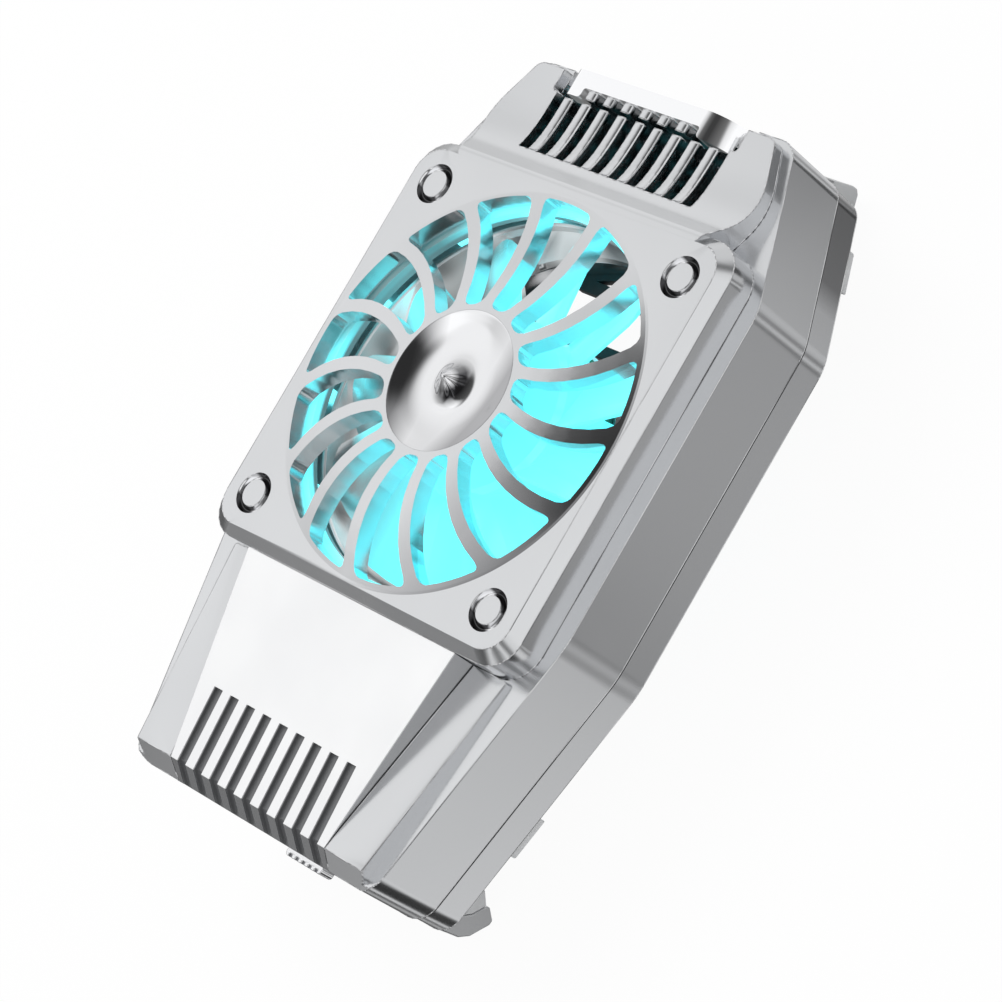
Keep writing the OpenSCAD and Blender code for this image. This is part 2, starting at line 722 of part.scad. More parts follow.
// The band is cut to a rounded leaf in plan and rooted in the wall of the hub
module blade() difference() {
    half = blade_lean / 2 + 0.2;
    tip = tip_r - fit;
    intersection() {
        translate([5, 0, 0]) rotate([90, 0, 90]) linear_extrude(tip)
            polygon(concat(blade_line(1), reversed(blade_line(-1))));
        slab(rounded([[4, -half], [tip, -half], [tip, half], [4, half]],
                     [0, leaf_r, leaf_r, 0]), blade_low_z - 1, blade_top_z + 1);
    }
    rod(0, 0, blade_low_z - 2, blade_top_z + 2, rotor_r - 0.35);
}

module impeller() color([0.5, 0.9, 0.95]) place() {
    rotate_extrude($fn = 72) polygon([
        [shaft_r, boss_z], [boss_r, boss_z], [boss_r, rotor_front_z - 1],
        [rotor_r - hub_wall, rotor_front_z - 1], [rotor_r - hub_wall, rotor_back_z],
        [rotor_r, rotor_back_z], [rotor_r, rotor_front_z - 0.5],
        [rotor_r - 0.5, rotor_front_z], [0, rotor_front_z], [0, rotor_front_z - 0.9],
        [shaft_r, rotor_front_z - 0.9]]);
    for (k = [0 : blades - 1]) rotate(blade_rest + k * 360 / blades) blade();
}

module rotor_cup() color(steel) place() rotate_extrude() polygon([
    [boss_r + fit, rotor_front_z - 1.5], [cup_r - cup_t, rotor_front_z - 1.5],
    [cup_r - cup_t, rotor_back_z + 0.1], [cup_r, rotor_back_z + 0.1],
    [cup_r, rotor_front_z - 1.05], [boss_r + fit, rotor_front_z - 1.05]]);

module magnet_ring() color([0.2, 0.2, 0.21]) place()
    ring(magnet_r - magnet_t, magnet_r, rotor_back_z + 0.2, rotor_front_z - 2.2);

module motor_shaft() color(steel) place()
    rod(0, 0, fan_back_z + 0.9, rotor_front_z - 0.95, shaft_r - 0.005);

module bearing_sleeve() color([0.72, 0.55, 0.3]) place()
    translate([0, 0, fan_back_z + 0.6]) difference() {
        cylinder(h = tube_top_z - fan_back_z - 0.6, r = sleeve_r);
        translate([0, 0, 0.25]) cylinder(h = fan_t, r = shaft_r + bearing_play - 0.005);
    }

module tooth(half, from_r, to_r, low, high)
    translate([from_r, -half, low]) cube([to_r - from_r, 2 * half, high - low]);

module stator_core() color([0.45, 0.46, 0.48]) place() {
    ring(tube_r + fit, tube_r + 0.9, core_low_z, core_top_z);
    intersection() {
        ring(tube_r + 0.5, core_r, core_low_z, core_top_z);
        for (k = [0 : 3]) rotate(45 + k * 90) union() {
            tooth(0.6, tube_r + 0.5, core_r, core_low_z, core_top_z);
            tooth(2.6, core_r - 0.75, core_r, core_low_z, core_top_z);
        }
    }
}

module stator_coils() color([0.75, 0.38, 0.16]) place()
    for (k = [0 : 3]) rotate(45 + k * 90) difference() {
        tooth(1.35, tube_r + 0.95, core_r - 1, core_low_z - 0.4, core_top_z + 0.4);
        tooth(0.65, tube_r, core_r, core_low_z - 0.05, core_top_z + 0.05);
    }

module motor_board() color(board_green) place()
    ring(tube_r + fit, rotor_r + 0.3, motor_board_z, motor_board_z + motor_board_t);

module main_board() color(board_green) place()
    slab(block(board_half, board_end_y, board_root_y, 0.6), board_top_z - board_t, board_top_z);

module board_parts() color([0.16, 0.16, 0.18]) place() {
    top = board_top_z - board_t - 0.02;
    side_x = board_half - 2.5;
    translate([-side_x, board_root_y - 8.4, top - 0.9]) cube([4, 4, 0.9]);
    translate([side_x - 5, board_root_y - 8.9, top - 1.8]) cube([5, 5, 1.8]);
    translate([-side_x, board_root_y - 3, top - 2]) cylinder(h = 2, r = 1.4);
    for (i = [0 : 4])
        translate([-4 + i * 1.6, board_root_y - 2.8, top - 0.5]) cube([0.7, 1.3, 0.5]);
}

module socket_shell(grow, length, start) {
    half_h = socket_h / 2 + grow;
    translate([0, socket_mouth_y + start, socket_z]) rotate([-90, 0, 0]) linear_extrude(length)
        polygon(block(socket_w / 2 + grow, -half_h, half_h, half_h - 0.05));
}

module usb_socket() color(steel) place() difference() {
    socket_shell(0, socket_len, 0);
    socket_shell(-socket_wall, socket_len, -1);
}

module socket_tongue() color(dark) place() {
    deep_y = socket_mouth_y + socket_len - 1 - fit;
    translate([-3.3, socket_mouth_y + 0.9, socket_z - 0.35])
        cube([6.6, deep_y - socket_mouth_y - 0.9, 0.7]);
    translate([-3.3, deep_y - 1.2, socket_z - 1.2]) cube([6.6, 1.2, 2.4]);
}

// Lower claw in section: down its outer side, round the lip and back up its inner side
function lower_claw_inner() = [
    [claw_in_y + 1.8, tip_z + 1.6], [claw_in_y + 0.6, tip_z + 2.7],
    [claw_in_y + 0.15, tip_z + 3.6], [claw_in_y, back_z - 0.3]];
function lower_claw_profile() = concat(
    [[bridge_y, arm_top_z], [claw_out_y, arm_top_z], [claw_out_y, back_z - 2],
     [claw_out_y + 0.3, tip_z + 2.8], [claw_out_y + 0.85, tip_z + 1.6],
     [claw_out_y + 2.55, tip_z + 0.05], [claw_out_y + 2.95, tip_z],
     [claw_out_y + 3.9, tip_z + 1.2]],
    lower_claw_inner(),
    [[claw_in_y, arm_bottom_z], [bridge_y, arm_bottom_z]]);

module lower_claw() color(silver) place() {
    difference() {
        across(lower_claw_profile(), lower_claw_w);
        translate([-1.2 - fit, claw_out_y - 1, arm_bottom_z + 0.2])
            cube([2.4 + 2 * fit, 1.9, 0.9]);
    }
    for (s = [-1, 1])
        translate([s * arm_pitch / 2 - arm_w / 2, bridge_y - eps, arm_bottom_z])
        cube([arm_w, arm_len + eps, arm_t]);
}

module lower_claw_liner() color(silicone) place() difference() {
    across(concat(
        [[bridge_y - 0.05, back_z - 1.3], [claw_in_y + fit, back_z - 1.3]],
        reversed([for (p = lower_claw_inner()) if (p.y < back_z - 1) p + [fit, fit]]),
        [[claw_in_y + 3, tip_z + 2.85], [claw_in_y + 1.95, tip_z + 3.9],
         [claw_in_y + 1.5, tip_z + 4.9]]), lower_claw_w);
    across([[claw_in_y + 0.7, back_z - 2], [claw_in_y + 0.75, tip_z + 4.2],
            [claw_in_y + 1.15, tip_z + 4.2], [claw_in_y + 1.1, back_z - 2]], lower_claw_w + 1);
}

module pull_tab() color(steel) place() {
    low = arm_bottom_z - 0.15;
    out_y = claw_out_y - tab_out;
    difference() {
        slab(block(tab_half, out_y, claw_out_y - fit, 0.4), low, arm_top_z);
        for (i = [-2 : 2]) translate([i * 0.9 - 0.2, out_y - 1, low - 1]) cube([0.4, 1.3, 4]);
    }
    translate([-1.2, claw_out_y - 0.3, arm_bottom_z + 0.25]) cube([2.4, 1.1, 0.8]);
}

module slide_retainer() color(steel) place() difference() {
    slab(block(retainer_half, retainer_end_y, retainer_root_y, 0.5), cover_z + fit, part_z - seam);
    for (y = retainer_screw_y) rod(0, y, cover_z - 1, part_z + 1, 0.8);
}

// Tension spring along Y, drawn as a tube round a helix
module claw_spring(side) {
    sides = 5;
    per_turn = 9;
    steps = coils * per_turn;
    start = bridge_y + wire_r + fit;
    length = spring_fixed_y - spring_post_r - fit - wire_r - start;
    points = [for (i = [0 : steps]) for (k = [0 : sides - 1])
        let (turn = i * 360 / per_turn,
             r = spring_r + wire_r * cos(k * 360 / sides))
        [side * spring_x + r * cos(turn),
         start + length * i / steps + wire_r * sin(k * 360 / sides),
         spring_z + r * sin(turn)]];
    skin = [for (i = [0 : steps - 1]) for (k = [0 : sides - 1])
        let (a = i * sides + k, b = i * sides + (k + 1) % sides)
        each [[a, a + sides, b], [b, a + sides, b + sides]]];
    ends = [[for (k = [0 : sides - 1]) k],
            [for (k = [sides - 1 : -1 : 0]) steps * sides + k]];
    polyhedron(points, concat(skin, ends));
}
module claw_spring_left() color(steel) place() claw_spring(-1);
module claw_spring_right() color(steel) place() claw_spring(1);

// Upper claw in section, and the thinner core inside its boot
function upper_inner(z) = upper_face_y + 0.05 + 0.95 * pow((back_z - z) / (back_z - tip_z - 2.3), 2);
function upper_outer(z) =
    upper_face_y + 0.05
    + (y_high - upper_face_y - 0.1) * (part_z - 0.25 - z) / (part_z - tip_z - 2.55);
function upper_core() = [
    [upper_face_y + 1.3, tip_z + 2.25], [upper_inner(boot_z) + 0.5, boot_z + 0.1],
    [upper_outer(boot_z) - 0.5, boot_z + 0.1], [y_high - 0.5, tip_z + 2.2],
    [y_high - 0.65, tip_z + 1.65], [upper_face_y - 0.2, tip_z + 0.55],
    [upper_face_y - 0.6, tip_z + 1]];

module upper_claw() color(steel) place() {
    difference() {
        across([
            [tongue_root_y, tongue_low_z], [upper_face_y, tongue_low_z],
            [upper_face_y + 0.05, back_z], [upper_inner(boot_z + 2), boot_z + 2],
            [upper_inner(boot_z), boot_z], [upper_outer(boot_z), boot_z],
            [upper_face_y + 0.05, part_z - 0.25], [upper_face_y, tongue_top_z],
            [tongue_root_y, tongue_top_z]], upper_claw_w);
        for (s = [-1, 1]) rod(s * claw_screw.x, claw_screw.y, back_z, part_z, 0.8);
    }
    across(upper_core(), upper_claw_w - 1.2);
}

module upper_claw_boot() color(silicone) place() difference() {
    across([
        [upper_outer(boot_z), boot_z - fit], [upper_inner(boot_z), boot_z - fit],
        [upper_face_y + 1, tip_z + 2.3], [upper_face_y - 1.2, tip_z + 1.3],
        [upper_face_y - 1.1, tip_z + 0.3], [upper_face_y - 0.4, tip_z],
        [y_high - 0.4, tip_z + 1.2], [y_high, tip_z + 1.7], [y_high - 0.05, tip_z + 2.3]],
        upper_claw_w);
    across(grown(reversed(upper_core()), fit), upper_claw_w - 1.2 + 2 * fit);
}

// A pad in plan: its ends run with the flanks
function pad_plan(span, d) = both_sides([
    [flank_x(span[0]) - pad_inset + d, span[0] - d], [flank_x(span[1]) - pad_inset + d, span[1] + d]]);
module back_pad_upper() color(silicone) place()
    slab(pad_plan(pad_upper_y, 0), back_z - pad_t, back_z + seat_t);
module back_pad_lower() color(silicone) place()
    slab(pad_plan(pad_lower_y, 0), back_z - pad_t, back_z + seat_t);

// A screw with its head on the +Z side: top of the head, thickness, radii and end
module screw(top, head_t, head, shank, end) {
    difference() {
        rod(0, 0, top - head_t, top, head);
        translate([-head * 0.6, -0.15, top - 0.35]) cube([head * 1.2, 0.3, 1]);
        translate([-0.15, -head * 0.6, top - 0.35]) cube([0.3, head * 1.2, 1]);
    }
    rod(0, 0, end, top - head_t + 0.01, shank);
}

module case_screws() color(steel) place() four_corners()
    screw(case_head_z + case_head_t, case_head_t, head_r, case_shank_r, case_end_z);

module shell_screws() color(steel) place() shell_screw_places()
    translate([0, 0, back_z + 0.35]) rotate([180, 0, 0])
    screw(0, 0.8, 1.4, 0.8, 0.35 - rear_t - 3.4);

module retainer_screws() color(steel) place()
    for (y = retainer_screw_y) translate([0, y, 0])
        screw(part_z + 0.6, 0.6 + seam, 1.4, 0.7, back_z + 0.7);

module claw_screws() color(steel) place()
    for (s = [-1, 1]) translate([s * claw_screw.x, claw_screw.y, 0])
        screw(part_z - 0.1, 0.5, 1.4, 0.7, back_z + 0.4);

front_shell();
grille_cover();
hub_cap();
screw_caps();
outlet_trim();
lower_panel();
rear_shell();
rear_guard();
light_ring();
led_board();
leds();
fan_frame();
impeller();
rotor_cup();
magnet_ring();
motor_shaft();
bearing_sleeve();
stator_core();
stator_coils();
motor_board();
main_board();
board_parts();
usb_socket();
socket_tongue();
lower_claw();
lower_claw_liner();
pull_tab();
slide_retainer();
claw_spring_left();
claw_spring_right();
upper_claw();
upper_claw_boot();
back_pad_upper();
back_pad_lower();
case_screws();
shell_screws();
retainer_screws();
claw_screws();
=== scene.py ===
import json
import math

import bmesh
import bpy
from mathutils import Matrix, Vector
from mathutils.bvhtree import BVHTree


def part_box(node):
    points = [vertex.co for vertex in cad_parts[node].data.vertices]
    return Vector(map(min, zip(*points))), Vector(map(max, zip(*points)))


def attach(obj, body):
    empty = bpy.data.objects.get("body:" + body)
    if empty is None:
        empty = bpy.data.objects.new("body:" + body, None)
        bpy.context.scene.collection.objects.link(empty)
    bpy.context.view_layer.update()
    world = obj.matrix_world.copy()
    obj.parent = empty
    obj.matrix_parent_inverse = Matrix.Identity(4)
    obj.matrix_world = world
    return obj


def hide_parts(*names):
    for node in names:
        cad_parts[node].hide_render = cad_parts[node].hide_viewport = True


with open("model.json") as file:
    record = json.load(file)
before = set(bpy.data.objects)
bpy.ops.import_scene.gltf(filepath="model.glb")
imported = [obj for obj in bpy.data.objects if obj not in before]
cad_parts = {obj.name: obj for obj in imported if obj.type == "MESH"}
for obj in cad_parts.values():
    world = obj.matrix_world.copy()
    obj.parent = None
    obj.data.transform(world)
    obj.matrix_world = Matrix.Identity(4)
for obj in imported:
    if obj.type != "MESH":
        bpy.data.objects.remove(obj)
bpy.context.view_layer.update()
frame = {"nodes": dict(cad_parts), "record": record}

# Looks of a clip-on phone cooling fan, built around its CAD frame. Lengths are in metres.
# The row stands on the tips of its claws, +Z is out of the grille and +Y towards the outlet.

MM = 0.001
NODES = frame["nodes"]

# Places read from the frame
HUB_LOW, HUB_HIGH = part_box("hub_cap")
AXIS = (HUB_LOW + HUB_HIGH) / 2
HUB_R = (HUB_HIGH.x - HUB_LOW.x) / 2
CAP_LOW, CAP_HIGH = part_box("screw_caps")
FACE_Z = CAP_HIGH.z
PANEL_LOW, PANEL_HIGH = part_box("lower_panel")
COVER_LOW, COVER_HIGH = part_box("grille_cover")
PARTING_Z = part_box("front_shell")[0].z

# Sizes that the CAD source has too: a screw cap, the way to each screw in x and y, and the opening
CAP_R = 1.92 * MM
CAP_REACH = (CAP_HIGH.x - CAP_LOW.x) / 2 - CAP_R
OPENING_R = 18.95 * MM

# Points this near each other are one, and edges that turn by fewer degrees stay as they are
JOIN = 0.002 * MM
CREASE = 28
TRIM_CREASE = 62

# Linear colours of the surfaces, and of painted shade and painted light on some of them
SILVER = (0.74, 0.75, 0.765)
SILVER_DEEP = (0.69, 0.70, 0.715)
CHROME = (0.86, 0.865, 0.88)
WHITE = (0.93, 0.935, 0.94)
WHITE_DEEP = (0.87, 0.875, 0.885)
CYAN = (0.19, 0.93, 1.0)
# Painted shade for the outlet behind the fins of the grille cover
OUTLET_SHADE_BLACK = (0.008, 0.014, 0.016)
GROOVE = (0.13, 0.133, 0.138)
# Painted shade: the grey of the panel's side walls, then of its end slope
SIDE_WALL_PAINTED_SHADE = (0.52, 0.525, 0.535)
SLOPE_PAINTED_SHADE = (0.36, 0.365, 0.375)
DUCT_GREY = (0.62, 0.64, 0.65)
PALE_GREY = (0.55, 0.57, 0.58)
CLEAR_GREY = (0.5, 0.54, 0.55)
# Painted light: the glow on the inner faces of the fan
DUCT_PAINTED_GLOW = (0.74, 0.79, 0.8)
# Painted highlight: the white glow on the outlet trim
TRIM_PAINTED_HIGHLIGHT = (1, 1, 1)

# Linear colours of painted dark reflections and painted shade on the metal surfaces
SPOKE_SHADE = (0.13, 0.13, 0.135)
TRIM_PAINTED_REFLECTION = (0.05, 0.05, 0.055)
HUB_PAINTED_DARK = (0.07, 0.07, 0.075)
HUB_PAINTED_GREY = (0.27, 0.27, 0.28)
POINT_PAINTED_DARK = (0.06, 0.06, 0.065)
RING_PAINTED_ARC = (0.02, 0.02, 0.022)
REAR_SHADE = (0.2, 0.2, 0.205)


# Nodes of materials and of the world

class Nodes:
    """A node tree, with short ways to add its nodes and to link them."""

    def __init__(self, tree):
        self.tree = tree

    def node(self, kind, **settings):
        made = self.tree.nodes.new(kind)
        for key, value in settings.items():
            setattr(made, key, value)
        return made

    def join(self, output, socket):
        self.tree.links.new(output, socket)

    def feed(self, value, socket):
        """Set a socket to a number, or link an output to it."""
        if isinstance(value, (int, float)):
            socket.default_value = value
        else:
            self.join(value, socket)

    def math(self, operation, *values):
        made = self.node("ShaderNodeMath", operation=operation)
        for socket, value in zip(made.inputs, values):
            self.feed(value, socket)
        return made.outputs[0]

    def times(self, first, *others):
        product = first
        for value in others:
            product = self.math("MULTIPLY", product, value)
        return product

    def plus(self, value, other):
        return self.math("ADD", value, other)

    def minus(self, value, other):
        return self.math("SUBTRACT", value, other)

    def size_of(self, value):
        return self.math("ABSOLUTE", value)

    def spread(self, value, low, high, start=0.3, end=0.7, **settings):
        """The value from start to end, spread from low to high."""
        ranged = self.node("ShaderNodeMapRange", **settings)
        numbers = {"From Min": start, "From Max": end, "To Min": low, "To Max": high}
        for socket, number in numbers.items():
            ranged.inputs[socket].default_value = number
        self.join(value, ranged.inputs["Value"])
        return ranged.outputs["Result"]

    def rise(self, value, start, end, top=1):
        """0 where the value is below start, top where it is past end."""
        return self.spread(value, 0, top, start, end)

    def fall(self, value, start, end, foot=0):
        """1 where the value is below start, foot where it is past end."""
        return self.spread(value, 1, foot, start, end)

    def ease(self, value, start, end, high=1):
        """A rise with soft ends."""
        return self.spread(value, 0, high, start, end, interpolation_type="SMOOTHSTEP")

    def split(self, vector):
        parts = self.node("ShaderNodeSeparateXYZ")
        self.join(vector, parts.inputs[0])
        return parts.outputs

    def seen_plainly(self):
        """1 for what the camera sees, directly or through clear plastic."""
        path = self.node("ShaderNodeLightPath")
        return self.math("MAXIMUM", path.outputs["Is Camera Ray"], path.outputs["Is Transmission Ray"])


class Finish(Nodes):
    """A Principled material and the procedural nodes that feed it."""

    def __init__(self, name, colour, roughness, metallic=0.0, **sockets):
        self.material = bpy.data.materials.new(name)
        self.material.use_nodes = True
        super().__init__(self.material.node_tree)
        self.shader = self.tree.nodes["Principled BSDF"]
        self.place = self.node("ShaderNodeTexCoord").outputs["Object"]
        self.shader.inputs["Base Color"].default_value = (*colour, 1)
        self.shader.inputs["Roughness"].default_value = roughness
        self.shader.inputs["Metallic"].default_value = metallic
        for socket, value in sockets.items():
            self.shader.inputs[socket.replace("_", " ")].default_value = value
        self.material.diffuse_color = (*colour, 1)

    def axes(self):
        return self.split(self.place)

    def noise(self, size, detail=2.0, stretch=(1, 1, 1)):
        """Noise whose cells are about size across, drawn out along an axis by stretch below 1."""
        mapping = self.node("ShaderNodeMapping")
        mapping.inputs["Scale"].default_value = stretch
        self.join(self.place, mapping.inputs["Vector"])
        noise = self.node("ShaderNodeTexNoise")
        noise.inputs["Scale"].default_value = 1 / size
        noise.inputs["Detail"].default_value = detail
        self.join(mapping.outputs["Vector"], noise.inputs["Vector"])
        return noise.outputs["Fac"]

    def tint(self, value, one, other, start=0.3, end=0.7):
        """Base colour that goes from one tone to another as the value goes from start to end."""
        mix = self.node("ShaderNodeMix", data_type="RGBA")
        mix.inputs["A"].default_value = (*one, 1)
        mix.inputs["B"].default_value = (*other, 1)
        self.join(self.rise(value, start, end), mix.inputs["Factor"])
        self.join(mix.outputs["Result"], self.shader.inputs["Base Color"])
        return self

    def shade(self, value, tone):
        """Turn the base colour to a plain tone where the value is 1."""
        colour = self.shader.inputs["Base Color"]
        mix = self.node("ShaderNodeMix", data_type="RGBA")
        mix.inputs["B"].default_value = (*tone, 1)
        if colour.links:
            self.join(colour.links[0].from_socket, mix.inputs["A"])
        else:
            mix.inputs["A"].default_value = colour.default_value
        self.join(value, mix.inputs["Factor"])
        self.join(mix.outputs["Result"], colour)
        return self

    def rough(self, value, low, high):
        self.join(self.spread(value, low, high), self.shader.inputs["Roughness"])
        return self

    def rough_about(self, value, roughness):
        """Roughness that wanders by 15 % to each side."""
        return self.rough(value, roughness * 0.85, roughness * 1.15)

    def bump(self, value, strength, depth):
        bump = self.node("ShaderNodeBump")
        bump.inputs["Strength"].default_value = strength
        bump.inputs["Distance"].default_value = depth
        self.join(value, bump.inputs["Height"])
        self.join(bump.outputs["Normal"], self.shader.inputs["Normal"])
        return self

    def glow(self, colour, strength):
        """Light of one colour, as strong as an output says."""
        self.shader.inputs["Emission Color"].default_value = (*colour, 1)
        self.join(strength, self.shader.inputs["Emission Strength"])
        return self

    def dim(self, share):
        """Turn the glow down to a share of what it is."""
        strength = self.shader.inputs["Emission Strength"]
        self.join(self.times(strength.links[0].from_socket, share), strength)
        return self

    def radial(self, centre, lean):
        """Distance from a centre in plan, and its part towards the azimuth lean in degrees."""
        x, y, _ = self.axes()
        dx = self.minus(x, centre.x)
        dy = self.minus(y, centre.y)
        turn = math.radians(lean)
        along = self.plus(self.times(dx, math.cos(turn)), self.times(dy, math.sin(turn)))
        far = self.math("SQRT", self.plus(self.times(dx, dx), self.times(dy, dy)))
        return far, along


# Plain finishes

def satin_silver(name, colour=SILVER, deep=SILVER_DEEP, roughness=0.2):
    """Metallised plastic: a fine grain, with slow changes of sheen across the surface."""
    finish = Finish(name, colour, roughness, metallic=1)
    slow = finish.noise(14 * MM)
    finish.tint(slow, deep, colour)
    finish.rough_about(slow, roughness)
    grain = finish.noise(0.16 * MM, detail=1)
    return finish.bump(grain, strength=0.05, depth=0.004 * MM)


def chrome(name="polished_chrome"):
    """Polished metal with faint changes of sheen."""
    finish = Finish(name, CHROME, roughness=0.09, metallic=1)
    return finish.rough(finish.noise(5 * MM, detail=3), 0.08, 0.12)


def moulded(name, colour, deep, roughness, grain=0.3 * MM):
    """Moulded plastic or silicone with a fine skin."""
    finish = Finish(name, colour, roughness)
    slow = finish.noise(6 * MM, detail=3)
    finish.tint(slow, deep, colour)
    finish.rough_about(slow, roughness)
    return finish.bump(finish.noise(grain), strength=0.25, depth=0.01 * MM)


def lit_plastic(name, strength, edge_strength):
    """Clear cyan plastic that glows in soft patches: its own light on the lamps and the diffuser, painted
    light on the blades.
    """
    finish = Finish(name, CYAN, roughness=0.22, Coat_Weight=0.4, Coat_Roughness=0.1)
    return finish.glow(CYAN, finish.spread(finish.noise(7 * MM), edge_strength, strength))


def brushed(name, colour, deep, stretch):
    """Metal with fine lines along one axis."""
    finish = Finish(name, colour, roughness=0.3, metallic=1)
    lines = finish.noise(0.12 * MM, detail=3, stretch=stretch)
    finish.tint(lines, deep, colour)
    finish.rough(lines, 0.24, 0.4)
    return finish.bump(lines, strength=0.15, depth=0.004 * MM)


def circuit_board():
    """Green varnish over tracks that stand a little proud."""
    finish = Finish("circuit_board", (0.02, 0.11, 0.06), roughness=0.35)
    tracks = finish.noise(0.9 * MM, detail=0)
    finish.tint(tracks, (0.015, 0.085, 0.05), (0.03, 0.16, 0.09), start=0.49, end=0.51)
    return finish.bump(tracks, strength=0.2, depth=0.03 * MM)


def windings():
    """Copper wire in rows along Z."""
    finish = Finish("copper_windings", (0.66, 0.27, 0.1), roughness=0.28, metallic=1)
    waves = finish.node("ShaderNodeTexWave", wave_type="BANDS", bands_direction="Z")
    waves.inputs["Scale"].default_value = 1 / (0.6 * MM)
    finish.join(finish.place, waves.inputs["Vector"])
    finish.tint(waves.outputs["Fac"], (0.33, 0.11, 0.04), (0.78, 0.36, 0.15), start=0, end=1)
    return finish.bump(waves.outputs["Fac"], strength=0.6, depth=0.06 * MM)


# Finishes that change from place to place

def white_gloss():
    """White pearl plastic, dark on the floors of the grooves, with painted shade that turns its end slope
    and its side walls grey.
    """
    finish = Finish("white_gloss", WHITE, roughness=0.18, metallic=0.85)
    slow = finish.noise(9 * MM)
    finish.tint(slow, WHITE_DEEP, WHITE)
    finish.rough(slow, 0.16, 0.22)
    x, y, z = finish.axes()

    # Heights above the panel's long face and above its steep end slope, which meet at the bend.
    bend_y = PANEL_LOW.y + 1.5 * MM
    bend_z = PANEL_HIGH.z - 1.54 * MM
    face_fall = (PANEL_HIGH.z - bend_z) / (PANEL_HIGH.y - bend_y)
    slope_fall, slope_share = 1.4, 0.58
    up = finish.minus(z, bend_z)
    back = finish.minus(y, bend_y)
    face = finish.minus(up, finish.times(back, face_fall))
    slope = finish.times(finish.minus(up, finish.times(back, slope_fall)), slope_share)

    deep = finish.fall(finish.math("MAXIMUM", face, slope), -0.18 * MM, -0.06 * MM)
    among_grooves = finish.fall(finish.size_of(x), 10.0 * MM, 10.1 * MM)
    beside = finish.minus(1, among_grooves)
    on_slope = finish.rise(finish.minus(slope, face), 0, 0.03 * MM)
    floor = finish.times(deep, among_grooves)
    side_wall = finish.times(deep, beside)
    # Painted shade on the end slope and on the side walls; the groove floors are dark in their own colour.
    finish.shade(on_slope, SLOPE_PAINTED_SHADE)
    finish.shade(floor, GROOVE)
    finish.shade(side_wall, SIDE_WALL_PAINTED_SHADE)

    steep = finish.math("MAXIMUM", on_slope, side_wall)
    shine = finish.spread(steep, 0.4, 0.85, 0, 1)
    finish.join(finish.times(shine, finish.minus(1, floor)), finish.shader.inputs["Metallic"])
    return finish


def cover_silver():
    """The silver of the grille cover, with painted black shade and faint painted cyan glints in the outlet
    behind its fins, and painted dark reflections on its spokes.
    """
    finish = satin_silver("satin_silver_face")
    x, y, z = finish.axes()
    under_crests = finish.fall(z, FACE_Z - 4.58 * MM, FACE_Z - 3.9 * MM)
    in_width = finish.fall(finish.size_of(x), 11.1 * MM, 11.3 * MM)
    past_start = finish.rise(y, AXIS.y + 22.3 * MM, AXIS.y + 22.6 * MM)
    # Painted shade: the outlet below the crests of the fins is painted black, with painted cyan glints of
    # the blades' light over it.
    painted_outlet_shade = finish.times(under_crests, in_width, past_start)
    finish.shade(painted_outlet_shade, OUTLET_SHADE_BLACK)
    painted_glints = finish.rise(finish.noise(0.9 * MM, detail=1, stretch=(0.3, 1, 1)), 0.5, 0.7, 0.04)
    finish.glow(CYAN, finish.times(painted_outlet_shade, painted_glints))

    # Painted dark reflection: the spokes and the rim of the opening are painted darker towards one side.
    far, along = finish.radial(AXIS, -24)
    in_opening = finish.fall(far, OPENING_R + 0.25 * MM, OPENING_R + 0.3 * MM)
    near_top = finish.rise(z, FACE_Z - 0.3 * MM, FACE_Z - 0.1 * MM)
    towards = finish.rise(along, 7 * MM, 18.5 * MM, 0.85)
    return finish.shade(finish.times(towards, in_opening, near_top), SPOKE_SHADE)


def rear_silver():
    """The silver of the rear shell, with a painted dark reflection towards the outlet."""
    finish = satin_silver("satin_silver_rear")
    y = finish.axes()[1]
    return finish.shade(finish.rise(y, AXIS.y + 20.5 * MM, AXIS.y + 23 * MM, 0.8), REAR_SHADE)


def painted_glow_duct():
    """Inner faces of the fan, with a painted glow in soft grey patches that stands in for the light of the
    ring.
    """
    finish = satin_silver("duct_silver", DUCT_GREY, PALE_GREY, roughness=0.22)
    return finish.glow(DUCT_PAINTED_GLOW, finish.rise(finish.noise(6 * MM, detail=1), 0.36, 0.62, 0.5))


def trim_chrome():
    """Chrome of the outlet trim, brightened by a painted white highlight glow, with a painted dark
    reflection band where its longer foot bends down.
    """
    finish = chrome("trim_chrome")
    across = finish.minus(finish.axes()[0], AXIS.x)
    # Painted reflection: a dark band across the bend, and a painted highlight glow that is weaker inside
    # the band.
    band = finish.times(finish.rise(across, 6.4 * MM, 7.5 * MM, 0.9),
                        finish.fall(across, 7.8 * MM, 9.3 * MM))
    finish.shade(band, TRIM_PAINTED_REFLECTION)
    return finish.glow(TRIM_PAINTED_HIGHLIGHT, finish.spread(band, 0.15, 0.02, 0, 1))


def hub_chrome():
    """Chrome of the hub, with painted dark reflections on one side of its rim and round its point, and a
    painted grey reflection on the other.
    """
    finish = chrome("hub_chrome")
    far, along = finish.radial(AXIS, -166)
    painted_dark = finish.times(finish.rise(along, HUB_R * 0.36, HUB_R * 0.8),
                          finish.rise(far, HUB_R * 0.5, HUB_R * 0.72))
    finish.shade(finish.times(painted_dark, 0.78), HUB_PAINTED_DARK)
    far, along = finish.radial(AXIS, -12)
    grey = finish.times(finish.rise(along, HUB_R * 0.4, HUB_R * 0.75, 0.7),
                        finish.rise(far, HUB_R * 0.5, HUB_R * 0.7))
    finish.shade(grey, HUB_PAINTED_GREY)
    round_point = finish.times(finish.rise(far, HUB_R * 0.1, HUB_R * 0.17),
                               finish.fall(far, HUB_R * 0.24, HUB_R * 0.36))
    side = finish.spread(along, 0.3, 0.95, HUB_R * -0.16, HUB_R * 0.12)
    return finish.shade(finish.times(round_point, side), POINT_PAINTED_DARK)


